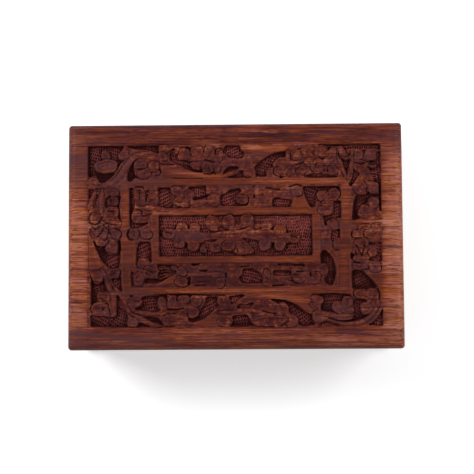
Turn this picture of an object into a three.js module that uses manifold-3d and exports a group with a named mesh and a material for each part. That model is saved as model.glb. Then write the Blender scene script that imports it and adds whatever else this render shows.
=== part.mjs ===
// Carved rosewood jewellery box with a hinged lid. Millimetres, +Z up, front towards -Y.
// The origin is the middle of the underside, and the hinges are at the back.
import * as THREE from 'three';
import { mergeVertices } from 'three/addons/utils/BufferGeometryUtils.js';
import Module from 'manifold-3d';

const wasm = await Module();
wasm.setup();

// Driving sizes of the carcase
const LID_LENGTH = 200;
const LID_WIDTH = 135;
const LID_THICKNESS = 12.8;
const LID_EDGE_RADIUS = 5;
const OVERHANG = 3;
const PLAN_CORNER_RADIUS = 2;
const WALL_HEIGHT = 42;
const WALL_THICKNESS = 8;
const CORNER_LAP = 4;
const BASE_THICKNESS = 8;
const BASE_EDGE_RADIUS = 4;
const BAIZE_THICKNESS = 1.2;
const BAIZE_INSET = 5;

// Driving sizes of the velvet lining
const LINING_THICKNESS = 1.6;
const LINING_DROP = 1.5;
const LINING_CLEARANCE = 0.3;
const PAD_HEIGHT = 4;
const PAD_CROWN = 0.8;
const LID_RECESS_DEPTH = 2;
const LID_RECESS_BORDER = 2;

// Driving sizes of the carving
const MARGIN = 12.5;
const CARVING_DEPTH = 2.2;
const LEAF_DROP = 0.3;
const LEAF_DISH = 0.6;
const FIELD_CORNER_RADIUS = 1;
const FRAME_BANDS = [
  { inset: 19.5, width: 5 },
  { inset: 37.7, width: 4.4 },
];

// Driving sizes of the hinges and fixings
const HINGE_SPACING = 99;
const HINGE_LENGTH = 25;
const BARREL_RADIUS = 2.5;
const BARREL_STAND_OFF = 0.75;
const KNUCKLES = 5;
const KNUCKLE_GAP = 0.3;
const PIN_RADIUS = 1;
const PIN_CLEARANCE = 0.15;
const LEAF_PLATE_WIDTH = 7.5;
const LEAF_PLATE_THICKNESS = 1.2;
const LEAF_SINK = 0.15;
const WOOD_CLEARANCE = 0.3;
const SCREW_SPACING = 15;
const SCREW_LENGTH = 7;
const SCREW_SHANK_RADIUS = 0.9;
const SCREW_HEAD_RADIUS = 2;
const SCREW_HEAD_HEIGHT = 1;
const BRAD_LENGTH = 20;
const BRAD_RADIUS = 0.8;
const BRAD_HEAD_RADIUS = 1.5;
const BRAD_HEAD_THICKNESS = 0.7;
const BRAD_HEAD_SINK = 0.3;
const BRAD_SPACING = 140;

// Levels and places that follow from the sizes above
const bodyLength = LID_LENGTH - 2 * OVERHANG;
const bodyWidth = LID_WIDTH - 2 * OVERHANG;
const innerLength = bodyLength - 2 * WALL_THICKNESS;
const innerWidth = bodyWidth - 2 * WALL_THICKNESS;
const baseTop = BAIZE_THICKNESS + BASE_THICKNESS;
const jointLevel = baseTop + WALL_HEIGHT;
const lidTop = jointLevel + LID_THICKNESS;
const hingeAxisY = bodyWidth / 2 + BARREL_STAND_OFF;
const plateFrontY = hingeAxisY - LEAF_PLATE_WIDTH;
const barrelRoom = BARREL_RADIUS + WOOD_CLEARANCE;
const screwY = (plateFrontY + hingeAxisY - barrelRoom) / 2;

// Geometry and solid helpers
function solidOf(geometry) {
  const bare = geometry.clone();
  bare.deleteAttribute('normal');
  bare.deleteAttribute('uv');
  const merged = mergeVertices(bare, 1e-4);
  return new wasm.Manifold(new wasm.Mesh({
    numProp: 3,
    vertProperties: new Float32Array(merged.attributes.position.array),
    triVerts: new Uint32Array(merged.index.array),
  }));
}

function geometryOf(solid) {
  const mesh = solid.getMesh();
  const geometry = new THREE.BufferGeometry();
  geometry.setAttribute('position', new THREE.BufferAttribute(mesh.vertProperties, 3));
  geometry.setIndex(new THREE.BufferAttribute(mesh.triVerts, 1));
  const faceted = geometry.toNonIndexed();
  faceted.computeVertexNormals();
  return faceted;
}

function block(lowX, highX, lowY, highY, lowZ, highZ) {
  const geometry = new THREE.BoxGeometry(highX - lowX, highY - lowY, highZ - lowZ);
  return geometry.translate((lowX + highX) / 2, (lowY + highY) / 2, (lowZ + highZ) / 2);
}

// A closed skin over rings of equal point counts. tip closes the last ring on one point.
function loft(rings, tip) {
  const count = rings[0].length;
  const positions = rings.flat().flatMap((point) => point.toArray());
  const index = [];
  for (let level = 0; level + 1 < rings.length; level += 1) {
    for (let side = 0; side < count; side += 1) {
      const a = level * count + side;
      const b = level * count + (side + 1) % count;
      index.push(a, b, b + count, a, b + count, a + count);
    }
  }
  const last = (rings.length - 1) * count;
  for (let side = 1; side + 1 < count; side += 1) {
    index.push(0, side + 1, side);
    if (!tip) index.push(last, last + side, last + side + 1);
  }
  if (tip) {
    positions.push(...tip.toArray());
    for (let side = 0; side < count; side += 1) {
      index.push(last + side, last + (side + 1) % count, rings.length * count);
    }
  }
  const geometry = new THREE.BufferGeometry();
  geometry.setAttribute('position', new THREE.Float32BufferAttribute(positions, 3));
  geometry.setIndex(index);
  return geometry;
}

const CORNER_STEPS = 3;
const SMALLEST_CORNER = 0.3;

function roundedRectangle(length, width, radius, z) {
  const corner = Math.max(radius, SMALLEST_CORNER);
  const centres = [[1, 1], [-1, 1], [-1, -1], [1, -1]];
  return centres.flatMap(([signX, signY], quarter) => {
    const cx = signX * (length / 2 - corner);
    const cy = signY * (width / 2 - corner);
    return Array.from({ length: CORNER_STEPS + 1 }, (_, step) => {
      const angle = (quarter + step / CORNER_STEPS) * Math.PI / 2;
      return new THREE.Vector3(cx + corner * Math.cos(angle), cy + corner * Math.sin(angle), z);
    });
  });
}

// A board whose upper edge is rounded over all round
function roundedBoard(length, width, bottom, thickness, edgeRadius, planRadius, steps) {
  const rings = [roundedRectangle(length, width, planRadius, bottom)];
  for (let step = 0; step <= steps; step += 1) {
    const angle = step / steps * Math.PI / 2;
    const inset = edgeRadius * (1 - Math.cos(angle));
    const z = bottom + thickness - edgeRadius * (1 - Math.sin(angle));
    rings.push(roundedRectangle(length - 2 * inset, width - 2 * inset, planRadius - inset, z));
  }
  return loft(rings);
}

function turned(profile, segments) {
  return new THREE.LatheGeometry(profile.map(([r, z]) => new THREE.Vector2(r, z)), segments)
    .rotateX(Math.PI / 2);
}

function rod(radius, length, segments) {
  return new THREE.CylinderGeometry(radius, radius, length, segments).rotateZ(Math.PI / 2);
}

// Materials
function finish(color, roughness, metalness) {
  return new THREE.MeshStandardMaterial({ color, roughness, metalness });
}

const rosewood = finish('#7b4534', 0.45, 0);
const carvedRosewood = finish('#6d3a2e', 0.5, 0);
const velvet = finish('#6d1522', 0.95, 0);
const baize = finish('#1f3d2a', 1, 0);
const brass = finish('#b8923f', 0.35, 1);
const steel = finish('#8d8f92', 0.4, 1);

const group = new THREE.Group();
group.name = 'carved_jewellery_box';

function addPiece(parent, name, geometry, material) {
  const mesh = new THREE.Mesh(geometry, material);
  mesh.name = name;
  parent.add(mesh);
  return mesh;
}

// Hinge positions along X, and the screws of one leaf
const hingeCentres = { left: -HINGE_SPACING / 2, right: HINGE_SPACING / 2 };
const screwOffsets = [-SCREW_SPACING / 2, SCREW_SPACING / 2];

// The room that one hinge needs in the wood: a barrel slot and a shallow plate seat, on the
// side of the joint that direction points to, with a pilot hole for each screw
function hingeSeat(centreX, direction) {
  const halfLength = HINGE_LENGTH / 2 + WOOD_CLEARANCE;
  const plateDepth = LEAF_PLATE_THICKNESS + LEAF_SINK;
  const level = (depth) => jointLevel + direction * depth;
  const between = (depth) => [Math.min(level(-1), level(depth)), Math.max(level(-1), level(depth))];
  const backY = LID_WIDTH / 2 + BARREL_RADIUS;
  const slot = solidOf(block(centreX - halfLength, centreX + halfLength,
    hingeAxisY - barrelRoom, backY, ...between(barrelRoom)));
  const seat = solidOf(block(centreX - halfLength, centreX + halfLength,
    plateFrontY - WOOD_CLEARANCE, hingeAxisY, ...between(plateDepth)));
  const pilotDepth = plateDepth + SCREW_LENGTH;
  return screwOffsets.reduce((room, offset) => {
    const pilot = rod(SCREW_SHANK_RADIUS + WOOD_CLEARANCE, pilotDepth + 1, 8).rotateY(Math.PI / 2)
      .translate(centreX + offset, screwY, (level(-1) + level(pilotDepth)) / 2);
    return room.add(solidOf(pilot));
  }, slot.add(seat));
}

function cutHingeSeats(solid, direction) {
  return Object.values(hingeCentres)
    .reduce((rest, centreX) => rest.subtract(hingeSeat(centreX, direction)), solid);
}

// Carved field of the lid. Places are in millimetres on a field of LAYOUT_LENGTH by
// LAYOUT_WIDTH, and are stretched to the field that the lid leaves inside its margin.
const LAYOUT_LENGTH = 175;
const LAYOUT_WIDTH = 110;
const fieldLength = LID_LENGTH - 2 * MARGIN;
const fieldWidth = LID_WIDTH - 2 * MARGIN;
const groundLevel = lidTop - CARVING_DEPTH;
const leafLevel = lidTop - LEAF_DROP;
const rootLevel = groundLevel - CARVING_DEPTH / 4;

function onField(x, y) {
  return new THREE.Vector2(x * fieldLength / LAYOUT_LENGTH, y * fieldWidth / LAYOUT_WIDTH);
}

// One leaf lobe: steep sides, and a top hollowed by the gouge
const LOBE_SIDES = 7;
const LOBE_SHOULDER = 0.84;

function lobe(centre, reach, girth, turn) {
  const ring = (share, z) => Array.from({ length: LOBE_SIDES }, (_, side) => {
    const angle = side / LOBE_SIDES * 2 * Math.PI;
    const flat = new THREE.Vector2(reach * share * Math.cos(angle), girth * share * Math.sin(angle))
      .rotateAround(new THREE.Vector2(), turn).add(centre);
    return new THREE.Vector3(flat.x, flat.y, z);
  });
  const rings = [ring(1, rootLevel), ring(1, groundLevel), ring(LOBE_SHOULDER, leafLevel)];
  return solidOf(loft(rings, new THREE.Vector3(centre.x, centre.y, leafLevel - LEAF_DISH)));
}

// A leaf has one lobe straight ahead and one to either side, spread from its stalk end.
// Its proportions are shares of the leaf's size.
const LOBE_SPREAD = THREE.MathUtils.degToRad(66);
const LOBE_REACH = 0.62;
const LOBE_GIRTH = 0.48;
const MIDDLE_LOBE_OFFSET = 0.78;
const SIDE_LOBE_OFFSET = 0.62;

function leaf([x, y, headingDegrees, size]) {
  const stalk = onField(x, y);
  const heading = THREE.MathUtils.degToRad(headingDegrees);
  return [0, LOBE_SPREAD, -LOBE_SPREAD].map((spread) => {
    const direction = heading + spread;
    const offset = new THREE.Vector2(Math.cos(direction), Math.sin(direction));
    const distance = size * (spread ? SIDE_LOBE_OFFSET : MIDDLE_LOBE_OFFSET);
    const centre = stalk.clone().addScaledVector(offset, distance);
    return lobe(centre, size * LOBE_REACH, size * LOBE_GIRTH, direction);
  }).reduce((whole, part) => whole.add(part));
}

// A stem is a raised rib that follows a smooth curve and thins towards its end
const STEM_STEPS = 5;
const STEM_TAPER = 0.35;

function stem({ route, width }) {
  const curve = new THREE.SplineCurve(route.map(([x, y]) => onField(x, y)));
  const edge = (side) => Array.from({ length: STEM_STEPS + 1 }, (_, step) => {
    const t = step / STEM_STEPS;
    const along = curve.getTangent(t);
    const half = width / 2 * (1 - STEM_TAPER * t);
    return curve.getPoint(t).add(new THREE.Vector2(-along.y, along.x).multiplyScalar(side * half));
  });
  const outline = new THREE.Shape([...edge(-1), ...edge(1).reverse()]);
  const rib = new THREE.ExtrudeGeometry(outline, {
    depth: leafLevel - rootLevel,
    bevelEnabled: false,
  });
  return solidOf(rib.translate(0, 0, rootLevel));
}

// A raised rectangular frame that parts the field into bands
function fieldBlock(shrink, low, high) {
  return solidOf(loft([low, high].map((z) => roundedRectangle(
    fieldLength - 2 * shrink, fieldWidth - 2 * shrink, FIELD_CORNER_RADIUS, z))));
}

function frame({ inset, width }) {
  return fieldBlock(inset, rootLevel, lidTop)
    .subtract(fieldBlock(inset + width, rootLevel - 1, lidTop + 1));
}

// Leaves as [x, y, heading in degrees, size], band by band from the outside in
const LEAVES = [
  [-70, 44, 165, 7.2], [-50, 42, 190, 6.2], [-37, 50, 180, 5], [-21, 47, 90, 6.2],
  [-14, 41, 170, 5.4], [8, 42, -85, 5], [32, 46, 195, 6.4], [45, 47, 20, 6.4],
  [61, 42, 210, 5.6], [77, 43, 75, 7], [78, 31, -90, 6], [79, 11, 80, 6.6],
  [78, 0, 180, 6], [83, -24, 95, 5.4], [79, -39, 130, 6.4], [67, -44, 155, 6.4],
  [53, -40, 165, 5.4], [53, -50, 185, 5.4], [25, -47, 5, 6.6], [19, -50, 180, 6],
  [-12, -50, 0, 5.4], [-5, -42, 120, 5.4], [-28, -43, 80, 6], [-41, -43, 100, 6],
  [-33, -48, 190, 6.2], [-57, -48, 225, 5], [-74, -40, 195, 7.2], [-77, -19, -95, 6.4],
  [-76, -1, -100, 6.4], [-78, 7, 200, 6.2], [-76, 6, -10, 5.8], [-78, 18, 15, 6.4],
  [-79, 30, 160, 6],
  [-53, 18, 95, 6.2], [-53, 11, 175, 5.4], [-52, 2, 180, 6.6], [-57, -19, -25, 6.4],
  [-29, 23, 180, 6], [-19, 21, 0, 5.6], [11, 22, 180, 6.4], [32, 24, 30, 5.4],
  [54, 18, 65, 6.4], [52, 6, 10, 5.4], [46, -21, 0, 5.4], [-38, -24, 0, 6],
  [-9, -22, -90, 5], [18, -21, -90, 5], [43, -22, 175, 5.6],
  [-35, 0, 180, 6], [-28, 1, 100, 5.4], [-11, 2, 95, 5.4], [7, 2, 85, 5.4], [22, 1, 80, 5.4],
  [-28, -1, -95, 5.2], [-11, -1, -90, 5.2], [5, -1, -90, 5.2], [21, -1, -90, 5.2],
  [31, -1, 0, 6],
];

// Stems as routes over the field, each with its width at the root
const STEMS = [
  { route: [[-84, 28], [-72, 33], [-65, 41], [-60, 49], [-46, 47]], width: 4 },
  { route: [[-87, 15], [-84, 27], [-79, 30]], width: 2.4 },
  { route: [[-79, 12], [-79, 20], [-79, 30]], width: 3 },
  { route: [[-46, 44], [-37, 41], [-20, 37], [-6, 36]], width: 4 },
  { route: [[-22, 47], [-6, 43], [6, 45], [20, 52], [34, 52]], width: 4.4 },
  { route: [[67, 31], [64, 40], [61, 50]], width: 3 },
  { route: [[67, 31], [69, 39], [70, 49]], width: 3 },
  { route: [[87, 8], [72, 8], [67, 4]], width: 3 },
  { route: [[69, -18], [78, -23], [84, -32], [85, -42], [76, -50], [50, -51]], width: 2.8 },
  { route: [[50, -47], [60, -48], [70, -47]], width: 3 },
  { route: [[8, -37], [20, -38], [34, -39], [46, -46]], width: 2.6 },
  { route: [[-46, -51], [-30, -53], [-16, -50], [-8, -45], [8, -44], [26, -48]], width: 4 },
  { route: [[-60, -44], [-44, -45], [-25, -43]], width: 3 },
  { route: [[-80, -19], [-75, -30], [-68, -36], [-62, -48], [-44, -53]], width: 3.6 },
  { route: [[-74, -12], [-76, -1], [-78, 8]], width: 3 },
  { route: [[-56, 17], [-40, 14], [-30, 15]], width: 3.4 },
  { route: [[-30, 21], [-18, 20], [-9, 21]], width: 3.4 },
  { route: [[8, 21], [22, 25], [38, 22], [48, 16]], width: 3.6 },
  { route: [[-54, -22], [-46, -27], [-36, -24], [-20, -22], [0, -22]], width: 3.4 },
  { route: [[2, -22], [20, -20], [34, -25], [46, -24]], width: 3.4 },
  { route: [[56, 14], [57, 0], [54, -8]], width: 3.6 },
  { route: [[-40, 0], [-20, -0.5], [0, 1], [32, -0.5]], width: 3 },
];

function carvedRelief() {
  const sunk = fieldBlock(0, groundLevel, lidTop + 1);
  const reach = fieldBlock(0, rootLevel, lidTop);
  const growth = [...LEAVES.map(leaf), ...STEMS.map(stem)].reduce((whole, part) => whole.add(part));
  const raised = FRAME_BANDS.map(frame).reduce((whole, part) => whole.add(part), growth);
  return { sunk, raised: raised.intersect(reach) };
}

// Lid: one thick board with its upper edge rounded over, carved on top and recessed below
function lidBoard() {
  const recess = block(-innerLength / 2 + LID_RECESS_BORDER, innerLength / 2 - LID_RECESS_BORDER,
    -innerWidth / 2 + LID_RECESS_BORDER, innerWidth / 2 - LID_RECESS_BORDER,
    jointLevel - 1, jointLevel + LID_RECESS_DEPTH);
  const board = solidOf(roundedBoard(LID_LENGTH, LID_WIDTH, jointLevel, LID_THICKNESS,
    LID_EDGE_RADIUS, PLAN_CORNER_RADIUS, 4)).subtract(solidOf(recess));
  const { sunk, raised } = carvedRelief();
  return geometryOf(cutHingeSeats(board.subtract(sunk).add(raised), 1));
}

function lidLining() {
  const length = innerLength - 2 * LID_RECESS_BORDER - 2 * LINING_CLEARANCE;
  const width = innerWidth - 2 * LID_RECESS_BORDER - 2 * LINING_CLEARANCE;
  const thickness = LID_RECESS_DEPTH - LINING_CLEARANCE;
  const lining = roundedBoard(length, width, 0, thickness, thickness / 2, 1, 2);
  return lining.rotateX(Math.PI).translate(0, 0, jointLevel + LID_RECESS_DEPTH);
}

// Walls: the long front and back lap over the ends of the short sides in a rebate
function longWall(side) {
  const half = bodyLength / 2;
  const outer = side * bodyWidth / 2;
  const lap = side * (bodyWidth / 2 - CORNER_LAP);
  const inner = side * innerWidth / 2;
  const outline = new THREE.Shape([
    [-half, outer], [-half, lap], [-innerLength / 2, lap], [-innerLength / 2, inner],
    [innerLength / 2, inner], [innerLength / 2, lap], [half, lap], [half, outer],
  ].map(([x, y]) => new THREE.Vector2(x, y)));
  const board = new THREE.ExtrudeGeometry(outline, { depth: WALL_HEIGHT, bevelEnabled: false });
  return board.translate(0, 0, baseTop);
}

function sideWall(side) {
  const low = Math.min(side * innerLength / 2, side * bodyLength / 2);
  const half = bodyWidth / 2 - CORNER_LAP;
  return block(low, low + WALL_THICKNESS, -half, half, baseTop, jointLevel);
}

// Brads go up through the base board into the middle of each wall
const wallMiddle = { x: (bodyLength - WALL_THICKNESS) / 2, y: (bodyWidth - WALL_THICKNESS) / 2 };
const bradPlaces = [
  [-BRAD_SPACING / 2, -wallMiddle.y], [BRAD_SPACING / 2, -wallMiddle.y],
  [-BRAD_SPACING / 2, wallMiddle.y], [BRAD_SPACING / 2, wallMiddle.y],
  [-wallMiddle.x, 0], [wallMiddle.x, 0],
];
const BRAD_SIDES = 8;
const bradHeadLevel = BAIZE_THICKNESS + BRAD_HEAD_SINK;

function brad([x, y]) {
  const tip = bradHeadLevel + BRAD_LENGTH;
  const profile = [
    [0, bradHeadLevel], [BRAD_HEAD_RADIUS, bradHeadLevel],
    [BRAD_HEAD_RADIUS, bradHeadLevel + BRAD_HEAD_THICKNESS],
    [BRAD_RADIUS, bradHeadLevel + BRAD_HEAD_THICKNESS],
    [BRAD_RADIUS, tip - 3 * BRAD_RADIUS], [0, tip],
  ];
  return turned(profile, BRAD_SIDES).translate(x, y, 0);
}

function bradHole([x, y]) {
  const top = bradHeadLevel + BRAD_LENGTH + WOOD_CLEARANCE;
  const seat = bradHeadLevel + BRAD_HEAD_THICKNESS + WOOD_CLEARANCE;
  const profile = [
    [0, -1], [BRAD_HEAD_RADIUS + WOOD_CLEARANCE, -1], [BRAD_HEAD_RADIUS + WOOD_CLEARANCE, seat],
    [BRAD_RADIUS + WOOD_CLEARANCE, seat], [BRAD_RADIUS + WOOD_CLEARANCE, top], [0, top],
  ];
  return solidOf(turned(profile, BRAD_SIDES).translate(x, y, 0));
}

function withBradHoles(geometry) {
  return bradPlaces.reduce((rest, place) => rest.subtract(bradHole(place)), solidOf(geometry));
}

function baseBoard() {
  return geometryOf(withBradHoles(roundedBoard(LID_LENGTH, LID_WIDTH, BAIZE_THICKNESS,
    BASE_THICKNESS, BASE_EDGE_RADIUS, PLAN_CORNER_RADIUS, 3)));
}

function baizeSheet() {
  return loft([0, BAIZE_THICKNESS].map((z) => roundedRectangle(LID_LENGTH - 2 * BAIZE_INSET,
    LID_WIDTH - 2 * BAIZE_INSET, PLAN_CORNER_RADIUS, z)));
}

// Wall lining: velvet over card, with a rounded upper edge
function wallLining(length) {
  const height = WALL_HEIGHT - LINING_DROP;
  const radius = LINING_THICKNESS / 2;
  const profile = new THREE.Shape();
  profile.moveTo(0, 0);
  profile.lineTo(LINING_THICKNESS, 0);
  profile.lineTo(LINING_THICKNESS, height - radius);
  profile.absarc(radius, height - radius, radius, 0, Math.PI, false);
  profile.lineTo(0, 0);
  const strip = new THREE.ExtrudeGeometry(profile, {
    depth: length,
    bevelEnabled: false,
    curveSegments: 4,
  });
  return strip.translate(0, 0, -length / 2).rotateX(Math.PI / 2);
}

function liningAlongX(side) {
  const strip = wallLining(innerLength - 2 * LINING_CLEARANCE).rotateZ(side * Math.PI / 2);
  return strip.translate(0, side * (innerWidth / 2 - LINING_THICKNESS), baseTop);
}

function liningAlongY(side) {
  const length = innerWidth - 2 * LINING_THICKNESS - 2 * LINING_CLEARANCE;
  const strip = wallLining(length).rotateZ(side > 0 ? 0 : Math.PI);
  return strip.translate(side * (innerLength / 2 - LINING_THICKNESS), 0, baseTop);
}

// Floor pad: wadding under velvet, drawn in at its foot and crowned in the middle
const PAD_FOOT_INSET = 0.8;
const PAD_SWELL_SHARE = 0.45;
const PAD_PLAN_RADIUS = 2;

function floorPad() {
  const length = innerLength - 2 * LINING_THICKNESS - 2 * LINING_CLEARANCE;
  const width = innerWidth - 2 * LINING_THICKNESS - 2 * LINING_CLEARANCE;
  const swellHeight = PAD_HEIGHT * PAD_SWELL_SHARE;
  const shoulderRadius = PAD_HEIGHT - swellHeight;
  const foot = { inset: PAD_FOOT_INSET, height: 0 };
  const swell = { inset: 0, height: swellHeight };
  const shoulder = [1, 2, 3].map((step) => ({
    inset: shoulderRadius * (1 - Math.cos(step * Math.PI / 6)),
    height: swellHeight + shoulderRadius * Math.sin(step * Math.PI / 6),
  }));
  const crown = [1 / 3, 2 / 3].map((share) => ({
    inset: shoulderRadius + share * (width / 2 - shoulderRadius) * share,
    height: PAD_HEIGHT + PAD_CROWN * share,
  }));
  const rings = [foot, swell, ...shoulder, ...crown].map(({ inset, height }) => roundedRectangle(
    length - 2 * inset, width - 2 * inset, PAD_PLAN_RADIUS + inset / 2, baseTop + height));
  return loft(rings, new THREE.Vector3(0, 0, baseTop + PAD_HEIGHT + PAD_CROWN));
}

// Hinge leaf: a plate let into the wood, with knuckles rolled round the pin. keeps says
// which knuckles belong to this leaf, and direction is 1 for the lid and -1 for the wall.
const BARREL_SIDES = 16;

function hingeLeaf(centreX, direction, keeps) {
  const near = jointLevel + direction * LEAF_SINK;
  const far = near + direction * LEAF_PLATE_THICKNESS;
  const half = HINGE_LENGTH / 2;
  const pitch = HINGE_LENGTH / KNUCKLES;
  const onAxis = (geometry) => solidOf(geometry.translate(centreX, hingeAxisY, jointLevel));
  const plate = solidOf(block(centreX - half, centreX + half, plateFrontY, hingeAxisY,
    Math.min(near, far), Math.max(near, far)));
  let leafSolid = plate.add(onAxis(rod(BARREL_RADIUS, HINGE_LENGTH, BARREL_SIDES)))
    .subtract(onAxis(rod(PIN_RADIUS + PIN_CLEARANCE, HINGE_LENGTH + 1, BARREL_SIDES)));
  for (let knuckle = 0; knuckle < KNUCKLES; knuckle += 1) {
    if (!keeps(knuckle)) {
      const low = centreX - half + knuckle * pitch - (knuckle ? KNUCKLE_GAP / 2 : 1);
      const end = knuckle === KNUCKLES - 1 ? 1 : KNUCKLE_GAP / 2;
      const high = centreX - half + (knuckle + 1) * pitch + end;
      leafSolid = leafSolid.subtract(solidOf(block(low, high, hingeAxisY - barrelRoom,
        hingeAxisY + barrelRoom, jointLevel - barrelRoom, jointLevel + barrelRoom)));
    }
  }
  screwOffsets.forEach((offset) => {
    leafSolid = leafSolid.subtract(countersink(centreX + offset, direction));
  });
  return geometryOf(leafSolid);
}

// Screws are countersunk: the head's flat top lies level with the plate's face
const SCREW_SIDES = 10;

function screwProfile(extra) {
  return [
    [0, 0], [SCREW_HEAD_RADIUS + extra, 0], [SCREW_SHANK_RADIUS + extra, SCREW_HEAD_HEIGHT],
    [SCREW_SHANK_RADIUS + extra, SCREW_LENGTH - 2 * SCREW_SHANK_RADIUS], [0, SCREW_LENGTH],
  ];
}

function placedScrew(profile, x, direction, sink) {
  const screw = turned(profile, SCREW_SIDES);
  if (direction < 0) screw.rotateX(Math.PI);
  return screw.translate(x, screwY, jointLevel + direction * sink);
}

function countersink(x, direction) {
  const open = [[0, -1], [SCREW_HEAD_RADIUS + LEAF_SINK, -1], ...screwProfile(LEAF_SINK).slice(1)];
  return solidOf(placedScrew(open, x, direction, LEAF_SINK));
}

// Body of the box
const box = new THREE.Group();
group.add(box);
addPiece(box, 'base_board', baseBoard(), rosewood);
addPiece(box, 'base_baize', baizeSheet(), baize);
addPiece(box, 'front_wall', geometryOf(withBradHoles(longWall(-1))), rosewood);
addPiece(box, 'back_wall', geometryOf(cutHingeSeats(withBradHoles(longWall(1)), -1)), rosewood);
addPiece(box, 'left_wall', geometryOf(withBradHoles(sideWall(-1))), rosewood);
addPiece(box, 'right_wall', geometryOf(withBradHoles(sideWall(1))), rosewood);
addPiece(box, 'floor_pad', floorPad(), velvet);
addPiece(box, 'front_lining', liningAlongX(-1), velvet);
addPiece(box, 'back_lining', liningAlongX(1), velvet);
addPiece(box, 'left_lining', liningAlongY(-1), velvet);
addPiece(box, 'right_lining', liningAlongY(1), velvet);
bradPlaces.forEach((place, number) => {
  addPiece(box, `base_brad_${number + 1}`, brad(place), steel);
});

// Lid, with its half of each hinge
const lid = new THREE.Group();
group.add(lid);
addPiece(lid, 'lid_board', lidBoard(), carvedRosewood);
addPiece(lid, 'lid_lining', lidLining(), velvet);

Object.entries(hingeCentres).forEach(([side, centreX]) => {
  const odd = (knuckle) => knuckle % 2 === 1;
  const even = (knuckle) => knuckle % 2 === 0;
  addPiece(box, `${side}_hinge_wall_leaf`, hingeLeaf(centreX, -1, even), brass);
  addPiece(lid, `${side}_hinge_lid_leaf`, hingeLeaf(centreX, 1, odd), brass);
  const pin = rod(PIN_RADIUS, HINGE_LENGTH, 12).translate(centreX, hingeAxisY, jointLevel);
  addPiece(box, `${side}_hinge_pin`, pin, steel);
  screwOffsets.forEach((offset, number) => {
    const wallScrew = placedScrew(screwProfile(0), centreX + offset, -1, LEAF_SINK);
    addPiece(box, `${side}_hinge_wall_screw_${number + 1}`, wallScrew, brass);
    const lidScrew = placedScrew(screwProfile(0), centreX + offset, 1, LEAF_SINK);
    addPiece(lid, `${side}_hinge_lid_screw_${number + 1}`, lidScrew, brass);
  });
});

export default group;
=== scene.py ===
"""A carved sheesham jewellery box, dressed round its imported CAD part.

Metres, +Z up, +X to the right and +Y to the back, where the hinges are. The sections follow
the box as it is put together, from the base to the carved lid, and end with the studio.
"""

import math

import bmesh
import bpy
import numpy as np
from mathutils import Matrix, Vector


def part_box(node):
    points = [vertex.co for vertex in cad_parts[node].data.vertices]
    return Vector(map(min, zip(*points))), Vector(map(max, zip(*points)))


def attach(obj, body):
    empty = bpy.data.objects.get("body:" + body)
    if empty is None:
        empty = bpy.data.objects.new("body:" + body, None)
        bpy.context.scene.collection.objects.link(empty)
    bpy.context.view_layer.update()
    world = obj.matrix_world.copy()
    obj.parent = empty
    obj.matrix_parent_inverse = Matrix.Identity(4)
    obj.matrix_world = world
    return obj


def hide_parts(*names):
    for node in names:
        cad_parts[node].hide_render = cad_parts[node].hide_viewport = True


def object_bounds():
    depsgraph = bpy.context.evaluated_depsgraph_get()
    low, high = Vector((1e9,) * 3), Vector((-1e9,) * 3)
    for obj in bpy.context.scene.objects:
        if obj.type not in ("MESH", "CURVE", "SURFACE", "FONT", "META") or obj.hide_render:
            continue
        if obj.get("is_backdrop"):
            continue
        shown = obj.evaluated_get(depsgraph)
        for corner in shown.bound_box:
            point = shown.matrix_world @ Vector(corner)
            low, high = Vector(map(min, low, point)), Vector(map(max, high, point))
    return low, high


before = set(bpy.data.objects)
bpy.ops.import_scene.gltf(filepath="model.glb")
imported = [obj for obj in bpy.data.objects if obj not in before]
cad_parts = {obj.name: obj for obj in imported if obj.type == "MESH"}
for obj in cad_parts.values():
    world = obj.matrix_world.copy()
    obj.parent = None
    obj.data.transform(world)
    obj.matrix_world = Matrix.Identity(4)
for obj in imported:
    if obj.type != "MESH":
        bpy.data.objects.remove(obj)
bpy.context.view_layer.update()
MM = 0.001


# Base board: one plank of sheesham, Indian rosewood, with the grain along the box. Its upper
# edge is rounded with a plane, and it is fixed to the walls with brads from below. Sheesham
# gives long brown and purple bands with near-black lines and open pores.

def linear(code):
    """Turns an sRGB hex colour into the linear colour that a socket takes."""
    parts = [int(code[place:place + 2], 16) / 255 for place in (1, 3, 5)]
    return (*[c / 12.92 if c <= 0.04045 else ((c + 0.055) / 1.055) ** 2.4 for c in parts], 1)


def add(tree, kind, sockets=None, feeds=None, stops=(), **settings):
    """Adds one node, with its settings, its socket values, its feeds and its ramp's stops."""
    node = tree.nodes.new(kind)
    for name, value in settings.items():
        setattr(node, name, value)

    def socket(key):
        return next(s for n, s in enumerate(node.inputs) if s.enabled and key in (n, s.name))

    for key, value in {**(sockets or {}), **(feeds or {})}.items():
        if isinstance(value, bpy.types.Node):
            value = next(s for s in value.outputs if s.enabled)
        if isinstance(value, bpy.types.NodeSocket):
            tree.links.new(value, socket(key))
        else:
            socket(key).default_value = value
    for number, (place, code) in enumerate(stops):
        marks = node.color_ramp.elements
        mark = marks[number] if number < len(marks) else marks.new(place)
        mark.position = place
        mark.color = linear(code)
    return node


def bare_tree(name):
    """A new material with nothing in it yet, and its node tree."""
    material = bpy.data.materials.new(name)
    material.use_nodes = True
    material.node_tree.nodes.clear()
    return material, material.node_tree


def finished(material, shader):
    """The material with its surface shader in place."""
    add(material.node_tree, "ShaderNodeOutputMaterial", feeds={"Surface": shader})
    return material


def ramp(tree, value, stops):
    """A colour for each level of a value."""
    return add(tree, "ShaderNodeValToRGB", feeds={0: value}, stops=stops)


def bumped(tree, strength, depth, height):
    """A surface that rises and falls, by a depth in millimetres."""
    return add(tree, "ShaderNodeBump", {"Strength": strength, "Distance": depth * MM},
               {"Height": height})


def scaled_sum(tree, value, factor, more, **settings):
    """A value times a factor, and something more."""
    return add(tree, "ShaderNodeMath", {0: value, 1: factor, 2: more},
               operation="MULTIPLY_ADD", **settings)


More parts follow.
